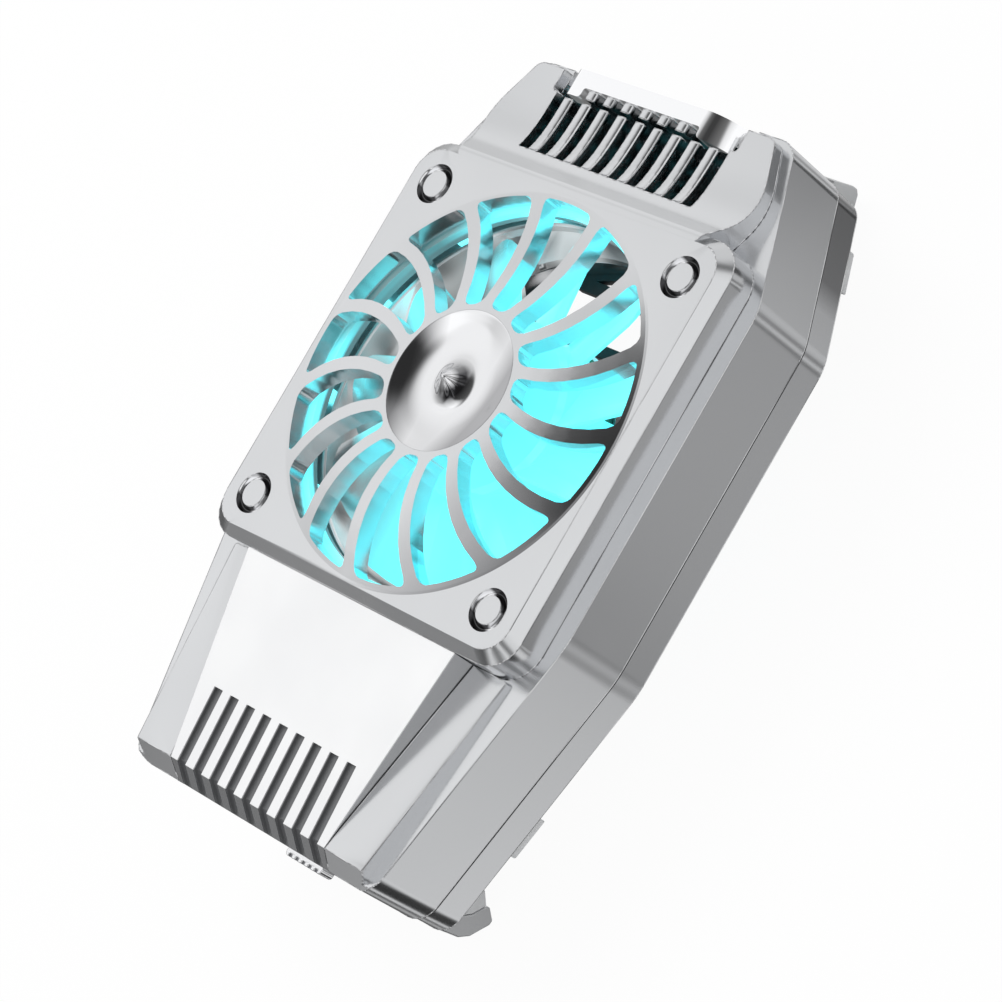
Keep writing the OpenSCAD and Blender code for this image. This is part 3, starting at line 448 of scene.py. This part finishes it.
def ring_chrome():
    """Chrome of the four cap rings, with two painted dark reflection arcs across each."""
    finish = chrome("ring_chrome")
    x, y, _ = finish.axes()
    lean = math.radians(66)
    parts = []
    for place, middle, share in ((x, AXIS.x, math.cos(lean)), (y, AXIS.y, math.sin(lean))):
        away = finish.minus(place, middle)
        screw = finish.times(finish.math("SIGN", away), CAP_REACH)
        parts.append(finish.times(finish.minus(away, screw), share))
    along = finish.size_of(finish.plus(*parts))
    return finish.shade(finish.rise(along, 0.98 * MM, 1.28 * MM, 0.94), RING_PAINTED_ARC)


def painted_glow_blades():
    """Blades with a painted cyan glow for the light of the ring, which fades to painted grey shade in
    patches on the far side of the impeller.
    """
    finish = lit_plastic("painted_glow_blades", strength=0.72, edge_strength=0.6)
    x, _, _ = finish.axes()
    far_side = finish.fall(x, -11 * MM, -2 * MM)
    patches = finish.rise(finish.noise(9 * MM, detail=1), 0.3, 0.5)
    grey = finish.times(far_side, patches)
    finish.dim(finish.minus(1, grey))
    finish.join(grey, finish.shader.inputs["Metallic"])
    return finish.shade(grey, PALE_GREY)


def lit_rim():
    """The diffuser: it glows in its upper half, and less on one side, and is a clear grey elsewhere."""
    finish = lit_plastic("cyan_diffuser", strength=1, edge_strength=0.85)
    _, _, z = finish.axes()
    upper = finish.rise(z, FACE_Z - 2.95 * MM, FACE_Z - 2.6 * MM)
    _, along = finish.radial(AXIS, 153)
    lit = finish.times(upper, finish.fall(along, 15.6 * MM, 17.6 * MM, 0.1))
    finish.dim(lit)
    return finish.shade(finish.minus(1, lit), CLEAR_GREY)


# Finishes of the record's slots, and of the nodes that have their own

FINISHES = {
    "silver": satin_silver("satin_silver"),
    "silver_face": cover_silver(),
    "polished": chrome(),
    "white": white_gloss(),
    "black": moulded("black_plastic", (0.018, 0.02, 0.022), (0.012, 0.013, 0.015), roughness=0.38),
    "cyan_diffuser": lit_rim(),
    "lamp": lit_plastic("lamp", strength=1.6, edge_strength=1.3),
    "impeller": painted_glow_blades(),
    "steel": brushed("brushed_steel", (0.56, 0.57, 0.58), (0.45, 0.46, 0.47), stretch=(1, 1, 0.06)),
    "magnet": moulded("bonded_magnet", (0.06, 0.06, 0.065), (0.04, 0.04, 0.044), roughness=0.55),
    "bronze": brushed("sintered_bronze", (0.55, 0.36, 0.15), (0.42, 0.26, 0.1), stretch=(1, 1, 0.2)),
    "copper": windings(),
    "board": circuit_board(),
    "silicone": moulded("silicone", (0.68, 0.69, 0.7), (0.62, 0.63, 0.64), roughness=0.5, grain=0.2 * MM),
}
OWN_FINISHES = {
    "fan_frame": painted_glow_duct(),
    "led_board": satin_silver("rim_silver", (0.8, 0.81, 0.82), (0.74, 0.75, 0.76), roughness=0.3),
    "rear_shell": rear_silver(),
    "outlet_trim": trim_chrome(),
}


def dress(node, finish):
    """Give every material slot of a CAD node one finish."""
    for place in NODES[node].material_slots:
        place.material = finish.material


for entry in frame["record"]["subparts"]:
    dress(entry["node"], FINISHES[entry["material_slot"]])
for name, finish in OWN_FINISHES.items():
    dress(name, finish)


# Round edges on the CAD nodes

def from_axis(point):
    """Distance of a point from the fan's axis, in plan."""
    return math.hypot(point.x - AXIS.x, point.y - AXIS.y)


def in_grille(point):
    """Whether a point lies in the grille or at one of the screw caps, whose edges stay crisp."""
    across = abs(point.x - AXIS.x) - CAP_REACH
    along = abs(point.y - AXIS.y) - CAP_REACH
    near_cap = math.hypot(across, along) < 2.2 * MM
    return from_axis(point) < OPENING_R + 0.35 * MM or near_cap


def edge_turns(mesh):
    """For each edge, once points in one place are joined: its angle in degrees, and how far up it looks."""
    work = bmesh.new()
    work.from_mesh(mesh)
    first = work.verts.layers.int.new("first")
    for vert in work.verts:
        vert[first] = vert.index
    pairs = bmesh.ops.find_doubles(work, verts=work.verts, dist=JOIN)["targetmap"]
    joined = {vert.index: kept.index for vert, kept in pairs.items()}
    bmesh.ops.weld_verts(work, targetmap=pairs)
    turned = {}
    for edge in work.edges:
        if len(edge.link_faces) == 2:
            ends = frozenset(vert[first] for vert in edge.verts)
            upward = min(face.normal.z for face in edge.link_faces)
            turned[ends] = (math.degrees(edge.calc_face_angle(0)), upward)
    work.free()
    open_edge = (180, 0)
    return [
        turned.get(frozenset(joined.get(i, i) for i in edge.vertices), open_edge)
        for edge in mesh.edges]


def mark_edges(node, crease):
    """Mark the sharp edges of a node, and the ones that its bevel rounds."""
    target = NODES[node]
    mesh = target.data
    turns = edge_turns(mesh)
    weights = mesh.attributes.new("bevel_weight_edge", "FLOAT", "EDGE")
    for edge, (angle, upward) in zip(mesh.edges, turns):
        one, other = (mesh.vertices[i].co for i in edge.vertices)
        place = target.matrix_world @ ((one + other) / 2)
        crisp = node == "grille_cover" and in_grille(place)
        if crisp and upward > 0.8:
            at_rim = abs(from_axis(place) - OPENING_R) < 0.1 * MM
            edge.use_edge_sharp = angle > 12 and at_rim
        else:
            edge.use_edge_sharp = angle > crease
        rounded = not crisp and crease <= angle <= 179
        weights.data[edge.index].value = 1.0 if rounded else 0.0


def soften(node, width, crease):
    """Small round edges on a CAD node: its vertices stay as they are under the modifiers."""
    target = NODES[node]
    mesh = target.data
    if "custom_normal" in mesh.attributes:
        mesh.attributes.remove(mesh.attributes["custom_normal"])
    mesh.shade_smooth()
    mark_edges(node, crease)
    weld = target.modifiers.new("Weld", "WELD")
    weld.merge_threshold = JOIN
    edge = target.modifiers.new("Round edges", "BEVEL")
    edge.width = width
    edge.segments = 2
    edge.limit_method = "WEIGHT"
    edge.miter_outer = "MITER_ARC"
    normals = target.modifiers.new("Normals", "WEIGHTED_NORMAL")
    normals.weight = 90
    normals.keep_sharp = True


EDGE_WIDTHS_MM = {
    "front_shell": 0.2, "rear_shell": 0.2, "grille_cover": 0.2, "outlet_trim": 0.12,
    "lower_panel": 0.08, "rear_guard": 0.12, "lower_claw": 0.12, "lower_claw_liner": 0.1,
    "pull_tab": 0.08, "upper_claw": 0.12, "upper_claw_boot": 0.15, "back_pad_upper": 0.12,
    "back_pad_lower": 0.12, "fan_frame": 0.08, "slide_retainer": 0.08, "usb_socket": 0.04,
}
for name, width in EDGE_WIDTHS_MM.items():
    soften(name, width * MM, TRIM_CREASE if name == "outlet_trim" else CREASE)


# Nets of points and faces, and the pieces made from them

def mesh_piece(name, verts, faces, finish, body, replaced=(), smooth=True):
    """A new piece from points and faces in the row frame."""
    data = bpy.data.meshes.new(name)
    data.from_pydata([tuple(v) for v in verts], [], faces)
    data.validate()
    piece = bpy.data.objects.new(name, data)
    bpy.context.scene.collection.objects.link(piece)
    work = bmesh.new()
    work.from_mesh(data)
    bmesh.ops.remove_doubles(work, verts=work.verts, dist=0.001 * MM)
    bmesh.ops.recalc_face_normals(work, faces=work.faces)
    work.to_mesh(data)
    work.free()
    data.materials.append(finish.material)
    if smooth:
        data.shade_smooth()
    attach(piece, body)
    if replaced:
        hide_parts(*replaced)


def grid_faces(rows, columns, close_rows=False, close_columns=False, start=0):
    """Faces between rows of points, closed on themselves either way where that is asked."""
    faces = []
    for r in range(rows if close_rows else rows - 1):
        here = start + r * columns
        there = start + (r + 1) % rows * columns
        for c in range(columns if close_columns else columns - 1):
            after = (c + 1) % columns
            faces.append((here + c, here + after, there + after, there + c))
    return faces


def lathe_net(profile, turns, centre, closed=False):
    """Points and faces of a profile of (radius, height) turned about the Z axis at centre."""
    verts = []
    for k in range(turns):
        turn = 2 * math.pi * k / turns
        for radius, z in profile:
            verts.append((centre.x + radius * math.cos(turn), centre.y + radius * math.sin(turn), z))
    return verts, grid_faces(turns, len(profile), close_rows=True, close_columns=closed)


def smooth_line(points, steps=6):
    """A curve through the points, with steps between each two."""
    line = []
    for i in range(len(points) - 1):
        a, b = points[i], points[i + 1]
        before = points[max(i - 1, 0)]
        after = points[min(i + 2, len(points) - 1)]
        for s in range(steps):
            t = s / steps
            line.append(tuple(
                0.5 * (2 * b0 + (b1 - a0) * t + (2 * a0 - 5 * b0 + 4 * b1 - c1) * t * t
                       + (3 * b0 - a0 - 3 * b1 + c1) * t ** 3)
                for a0, b0, b1, c1 in zip(before, a, b, after)))
    line.append(points[-1])
    return line


def bell(share, start, end):
    """0 at start and end, 1 halfway between them."""
    inside = min(max((share - start) / (end - start), 0), 1)
    return math.sin(math.pi * inside) ** 2


# Hub and screw caps

NEARLY_0 = 0.0002 * MM


def hub_profile(radius):
    """Side view of the dish, from its foot over its rim and hollow to its point."""
    point = HUB_HIGH.z
    crest = point - 0.9 * MM
    foot = FACE_Z + 0.6 * MM
    rim = [(radius, foot), (radius, crest - 0.1 * MM), (radius - 0.02 * MM, crest - 0.02 * MM),
           (radius - 0.1 * MM, crest - 0.01 * MM)]
    hollow_mm = [(0.9, -0.17), (0.78, -0.39), (0.64, -0.56), (0.5, -0.64), (0.38, -0.63),
                 (0.28, -0.46), (0.18, -0.04), (0.09, 0.5), (0.03, 0.84)]
    hollow = [(radius * share, crest + rise * MM) for share, rise in hollow_mm]
    return smooth_line(rim + hollow + [(NEARLY_0, point)])


def hub():
    """Polished dish with a raised point in its middle, fluted like a twisted petal."""
    radius = HUB_R + 0.04 * MM
    flutes, flute_depth = 9, 0.045 * MM
    waves, wave_depth = 2, 0.04 * MM
    verts, faces = lathe_net(hub_profile(radius), 192, AXIS)
    fluted = []
    for x, y, z in verts:
        share = math.hypot(x - AXIS.x, y - AXIS.y) / radius
        turn = math.atan2(y - AXIS.y, x - AXIS.x)
        petals = flute_depth * bell(share, 0, 0.3) * math.sin(flutes * turn + 5 * share)
        swirl = wave_depth * bell(share, 0.12, 0.48) * math.sin(waves * turn + 9 * share + 1)
        fluted.append((x, y, z + petals + swirl))
    mesh_piece("hub_dish", fluted, faces, hub_chrome(), "housing", ["hub_cap"])


def four_corners(net):
    """The points and faces of a net at each of the four screws."""
    verts, faces = [], []
    for sx, sy in ((1, 1), (-1, 1), (-1, -1), (1, -1)):
        centre = Vector((AXIS.x + sx * CAP_REACH, AXIS.y + sy * CAP_REACH, 0))
        points, quads = net(centre)
        start = len(verts)
        verts += points
        faces += [tuple(start + i for i in quad) for quad in quads]
    return verts, faces


def caps():
    """Caps over the case screws: a satin face inside a polished, hollow ring."""
    low = CAP_LOW.z
    top = FACE_Z
    face_r = 1.3 * MM
    inner, outer = face_r + 0.02 * MM, CAP_R + 0.03 * MM
    face = [(NEARLY_0, low), (face_r, low), (face_r, top - 0.03 * MM), (face_r - 0.03 * MM, top),
            (face_r - 0.05 * MM, top), (face_r - 0.1 * MM, top), (NEARLY_0, top)]
    hollow = smooth_line([
        (inner, top - 0.01 * MM), (face_r + 0.12 * MM, top - 0.22 * MM),
        (face_r + 0.26 * MM, top - 0.42 * MM), (face_r + 0.4 * MM, top - 0.42 * MM),
        (face_r + 0.54 * MM, top - 0.22 * MM), (outer, top - 0.01 * MM)], steps=4)
    ring = hollow + [(outer, low), (inner, low)]
    verts, faces = four_corners(lambda centre: lathe_net(face, 48, centre))
    satin = FINISHES["silver_face"]
    mesh_piece("cap_faces", verts, faces, satin, "housing", ["screw_caps"])
    verts, faces = four_corners(lambda centre: lathe_net(ring, 64, centre, closed=True))
    mesh_piece("cap_rings", verts, faces, ring_chrome(), "housing", ["screw_caps"])


# Seal in the parting line

def turn_of(a, b, c):
    """Above 0 where the way from a over b to c turns left."""
    return (b[0] - a[0]) * (c[1] - a[1]) - (b[1] - a[1]) * (c[0] - a[0])


def outline_of(node, height):
    """Outline in plan of a node's points below a height, run anticlockwise."""
    target = NODES[node]
    places = (target.matrix_world @ vert.co for vert in target.data.vertices)
    points = sorted({(round(p.x, 6), round(p.y, 6)) for p in places if p.z < height})

    def half(run):
        chain = []
        for point in run:
            while len(chain) > 1 and turn_of(chain[-2], chain[-1], point) <= 0:
                chain.pop()
            chain.append(point)
        return chain[:-1]

    return half(points) + half(points[::-1])


def inset(outline, distance):
    """The outline moved in by a distance on every side."""
    moved = []
    n = len(outline)
    for i in range(n):
        before, here, after = (Vector(outline[j % n]) for j in (i - 1, i, i + 1))
        a = (here - before).normalized()
        b = (after - here).normalized()
        one, two = Vector((-a.y, a.x)), Vector((-b.y, b.x))
        moved.append(here + (one + two) * distance / (1 + one.dot(two)))
    return moved


def gasket():
    """Dark seal in the parting line between the two shells."""
    outline = outline_of("front_shell", PARTING_Z + 0.05 * MM)
    section_mm = ((0.07, -0.01), (0.18, -0.01), (0.18, -0.22), (0.07, -0.22))
    verts = []
    for inward, rise in section_mm:
        ring = inset(outline, inward * MM)
        verts += [(p.x, p.y, PARTING_Z + rise * MM) for p in ring]
    faces = grid_faces(len(section_mm), len(outline), close_rows=True, close_columns=True)
    mesh_piece("parting_gasket", verts, faces, FINISHES["black"], "housing", smooth=False)


# Thin beads along the outer edges

BEAD_R = 0.06 * MM
BEAD_SIDES = 6
BEAD_SINK = 0.6


def outer_edges(work):
    """Ends and outward direction of each edge that turns sharply and has nothing in front of it."""
    tree = BVHTree.FromBMesh(work)
    shortest, clear = 0.02 * MM, 0.05 * MM
    found = []
    for edge in work.edges:
        if len(edge.link_faces) != 2 or not edge.is_convex or edge.calc_length() < shortest:
            continue
        a, b = (vert.co.copy() for vert in edge.verts)
        out = (edge.link_faces[0].normal + edge.link_faces[1].normal).normalized()
        middle = (a + b) / 2
        hidden = tree.ray_cast(middle + out * clear, out)[0] is not None
        blunt = math.degrees(edge.calc_face_angle(0)) < CREASE
        if not hidden and not blunt and not in_grille(middle):
            found.append((a, b, out))
    return found


def edge_beads(node):
    """Thin polished bead along the outer edges of a node, which gives each a dark and a light line."""
    source = NODES[node]
    work = bmesh.new()
    work.from_mesh(source.data)
    bmesh.ops.remove_doubles(work, verts=work.verts, dist=JOIN)
    work.transform(source.matrix_world)
    verts, faces = [], []
    for a, b, out in outer_edges(work):
        side = out.cross((b - a).normalized())
        start = len(verts)
        for end in (a, b):
            for k in range(BEAD_SIDES):
                turn = 2 * math.pi * k / BEAD_SIDES
                offset = out * (math.cos(turn) - BEAD_SINK) + side * math.sin(turn)
                verts.append(end + offset * BEAD_R)
        faces += grid_faces(2, BEAD_SIDES, close_columns=True, start=start)
        near = tuple(range(start, start + BEAD_SIDES))
        faces += [near, tuple(i + BEAD_SIDES for i in near)]
    work.free()
    mesh_piece(node + "_beads", verts, faces, FINISHES["polished"], "housing")


# Crests on the fins of the outlet

CREST_MM = [(-0.53, -0.5), (-0.53, 0.0), (-0.4, 0.05), (-0.2, 0.088), (0, 0.1), (0.2, 0.088),
            (0.4, 0.05), (0.53, 0.0), (0.53, -0.5)]


def cover_tree():
    """The grille cover in the row frame, ready for measuring its heights."""
    cover = NODES["grille_cover"]
    points = [cover.matrix_world @ vert.co for vert in cover.data.vertices]
    return BVHTree.FromPolygons(points, [list(face.vertices) for face in cover.data.polygons])


def height(tree, x, y):
    """Height of the topmost face at a place in plan, or 0 where there is none."""
    above = Vector((x, y, COVER_HIGH.z + MM))
    hit = tree.ray_cast(above, Vector((0, 0, -1)))[0]
    return hit.z if hit else 0.0


def fin_middles(tree):
    """Middles of the fins across the outlet, found on one line over the duct."""
    line_y = AXIS.y + 25.5 * MM
    step, half_outlet, half_duct = 0.05 * MM, 11.3 * MM, 9 * MM
    steps = int(round((COVER_HIGH.x - COVER_LOW.x) / step))
    places = [COVER_LOW.x + i * step for i in range(steps)]
    tops = [(x, height(tree, x, line_y)) for x in places]
    level = max(top for x, top in tops if abs(x - AXIS.x) < half_duct)
    solid = [x for x, top in tops if abs(x - AXIS.x) < half_outlet and top > level - 0.2 * MM]
    groups = [[solid[0]]]
    for x in solid[1:]:
        if x - groups[-1][-1] > 0.2 * MM:
            groups.append([])
        groups[-1].append(x)
    widest_fin = 1.3 * MM
    return [(group[0] + group[-1]) / 2 for group in groups if group[-1] - group[0] <= widest_fin]


def clear_runs(tree, x):
    """Lines along a fin wherever it stands clear of the slots beside it."""
    slot_away, slot_depth, jump, step = 0.95 * MM, 0.5 * MM, 0.3 * MM, 0.12 * MM
    found, line = [], []
    y = AXIS.y + 20.0 * MM
    while y < COVER_HIGH.y:
        top = height(tree, x, y)
        beside = max(height(tree, x - slot_away, y), height(tree, x + slot_away, y))
        if top - beside > slot_depth and (not line or abs(top - line[-1].z) < jump):
            line.append(Vector((x, y, top)))
        else:
            if len(line) > 3:
                found.append(line)
            line = []
        y += step
    return found


def fin_crests():
    """Rounded crests on the outlet fins and on their short stubs, along the curve of the wing."""
    tree = cover_tree()
    verts, faces = [], []
    n = len(CREST_MM)
    for x in fin_middles(tree):
        for line in clear_runs(tree, x):
            start = len(verts)
            for point in line:
                verts += [point + Vector((dx, 0, dz)) * MM for dx, dz in CREST_MM]
            faces += grid_faces(len(line), n, close_columns=True, start=start)
            for end in (start, start + (len(line) - 1) * n):
                faces.append(tuple(range(end, end + n)))
    mesh_piece("fin_crests", verts, faces, FINISHES["silver"], "housing")


hub()
caps()
gasket()
fin_crests()
for name in ("front_shell", "rear_shell", "grille_cover"):
    edge_beads(name)


# Studio: what polished surfaces reflect, two lamps, the floor and the camera

def direction(azimuth, elevation):
    a, e = math.radians(azimuth), math.radians(elevation)
    return Vector((math.cos(e) * math.cos(a), math.cos(e) * math.sin(a), math.sin(e)))


class Studio(Nodes):
    """World of a photo studio: white for the camera, softboxes and dark cards for polished surfaces."""

    def __init__(self):
        world = bpy.data.worlds.new("studio")
        bpy.context.scene.world = world
        world.use_nodes = True
        super().__init__(world.node_tree)
        self.background = self.tree.nodes["Background"]
        self.towards = self.node("ShaderNodeTexCoord").outputs["Generated"]
        self.tone = None

    def mix(self, factor, one, other):
        made = self.node("ShaderNodeMix", data_type="FLOAT")
        for socket, value in (("Factor", factor), ("A", one), ("B", other)):
            self.feed(value, made.inputs[socket])
        return made.outputs["Result"]

    def lay_over(self, share, tone):
        """Lay a tone over the present one, as fully as the share says."""
        self.tone = self.mix(share, self.tone, tone)

    def card(self, azimuth, elevation, inner, outer, tone):
        """A soft round card: full tone within inner degrees of its middle, gone at outer degrees."""
        dot = self.node("ShaderNodeVectorMath", operation="DOT_PRODUCT")
        self.join(self.towards, dot.inputs[0])
        dot.inputs[1].default_value = direction(azimuth, elevation)
        outside, inside = (math.cos(math.radians(angle)) for angle in (outer, inner))
        self.lay_over(self.ease(dot.outputs["Value"], outside, inside), tone)

    def band(self, around, stops):
        """Tones round the horizon, given as (azimuth in degrees, tone), eased from one to the next."""
        tone = stops[0][1]
        wrapped = stops + [(stops[0][0] + 360, stops[0][1])]
        for (start, low), (end, high) in zip(wrapped, wrapped[1:]):
            step = self.ease(around, math.radians(start), math.radians(end), high - low)
            tone = self.plus(step, tone)
        return tone


LOW_TONES = [
    (-180, 0.14), (-150, 0.1), (-128, 0.5), (-108, 0.05), (-96, 0.95), (-84, 0.04),
    (-46, 0.05), (-32, 0.85), (-17, 0.66), (-11, 0.1), (-4, 0.72), (2, 0.08), (8, 0.46),
    (16, 0.44), (22, 0.08), (29, 0.85), (36, 0.08), (43, 0.62), (57, 0.62), (64, 0.06), (77, 0.08),
    (85, 0.8), (100, 0.3), (118, 0.7), (134, 0.75), (150, 0.5)]
HIGH_TONES = [
    (-180, 0.95), (-160, 0.7), (-134, 0.28), (-112, 0.1), (-94, 0.9), (-78, 0.12), (-60, 1.0),
    (-44, 0.1), (-26, 0.95), (-12, 0.85), (10, 0.97), (40, 0.9), (62, 0.2), (90, 0.8),
    (110, 0.8), (134, 0.95), (152, 0.84), (172, 0.97)]
HORIZON = (-0.12, 0.08)
ZENITH = (0.79, 0.91)
ZENITH_TONE = 0.1
CARDS = [(-145, 58, 8, 20, 1.15), (189, 47, 8, 13, 1.0), (7, 44, 10, 18, 0.97)]
STRIP_TONE = 0.06
PLAIN_LEVEL = 0.54


def dark_strip(studio, x, z):
    """A dark strip along the horizon on the +X side, as a share from 0 to 1."""
    near_horizon = studio.minus(1, studio.times(studio.size_of(z), 9))
    on_side = studio.times(studio.minus(x, 0.35), 4)
    share = studio.math("MINIMUM", near_horizon, on_side)
    return studio.math("MINIMUM", studio.math("MAXIMUM", share, 0), 1)


def light_studio():
    """Reflections for glossy rays, white for the camera, and one plain level for all other light."""
    studio = Studio()
    x, y, z = studio.split(studio.towards)
    around = studio.math("ARCTAN2", y, x)
    studio.tone = studio.band(around, LOW_TONES)
    studio.lay_over(studio.ease(z, *HORIZON), studio.band(around, HIGH_TONES))
    studio.lay_over(studio.ease(z, *ZENITH), ZENITH_TONE)
    for card in CARDS:
        studio.card(*card)
    studio.lay_over(dark_strip(studio, x, z), STRIP_TONE)
    glossy = studio.node("ShaderNodeLightPath").outputs["Is Glossy Ray"]
    unseen = studio.mix(glossy, PLAIN_LEVEL, studio.tone)
    level = studio.mix(studio.seen_plainly(), unseen, 1)
    studio.join(level, studio.background.inputs["Strength"])
    studio.background.inputs["Color"].default_value = (1, 1, 1, 1)


def area_light(name, azimuth, elevation, distance, size, energy):
    """A square lamp turned to the hub, left out of what polished surfaces reflect."""
    data = bpy.data.lights.new(name, "AREA")
    data.shape = "SQUARE"
    data.size = size
    data.energy = energy
    lamp = bpy.data.objects.new(name, data)
    lamp.location = AXIS + direction(azimuth, elevation) * distance
    lamp.rotation_euler = (AXIS - lamp.location).to_track_quat("-Z", "Y").to_euler()
    lamp.visible_glossy = False
    bpy.context.scene.collection.objects.link(lamp)


def floor_finish():
    """Pale grey that shows the object's shadow, turned almost white for the camera."""
    finish = Finish("pale_floor", (0.9, 0.9, 0.9), roughness=0.7)
    finish.tint(finish.noise(30 * MM), (0.89, 0.89, 0.89), (0.91, 0.91, 0.91))
    white = finish.node("ShaderNodeEmission")
    white.inputs["Strength"].default_value = 1
    mix = finish.node("ShaderNodeMixShader")
    share = finish.times(finish.seen_plainly(), 0.95)
    finish.join(share, mix.inputs[0])
    finish.join(finish.shader.outputs[0], mix.inputs[1])
    finish.join(white.outputs[0], mix.inputs[2])
    finish.join(mix.outputs[0], finish.tree.nodes["Material Output"].inputs["Surface"])
    return finish


def lay_floor():
    """Pale floor just under the tips of the claws."""
    side, gap = 6.0, 0.1 * MM
    corners = [(-side, -side, 0), (side, -side, 0), (side, side, 0), (-side, side, 0)]
    data = bpy.data.meshes.new("floor")
    data.from_pydata(corners, [], [(0, 1, 2, 3)])
    data.materials.append(floor_finish().material)
    floor = bpy.data.objects.new("floor", data)
    floor.location.z = -gap
    floor.visible_glossy = False
    bpy.context.scene.collection.objects.link(floor)


def place_camera():
    """Camera at the photograph's viewing angle, worked out from the square of the four screws."""
    data = bpy.data.cameras.new("camera")
    data.sensor_width = 36
    data.lens = 132.0
    data.clip_start = 0.01
    camera = bpy.data.objects.new("camera", data)
    camera.location = (0.22494, -0.03105, 0.24144)
    camera.rotation_euler = [math.radians(a) for a in (29.7244, 35.0127, 37.5077)]
    bpy.context.scene.collection.objects.link(camera)
    bpy.context.scene.camera = camera


light_studio()
area_light("key", azimuth=150, elevation=58, distance=0.5, size=0.35, energy=1.35)
area_light("fill", azimuth=-60, elevation=40, distance=0.6, size=0.4, energy=0.7)
lay_floor()
place_camera()
bpy.context.scene.view_settings.view_transform = "Standard"
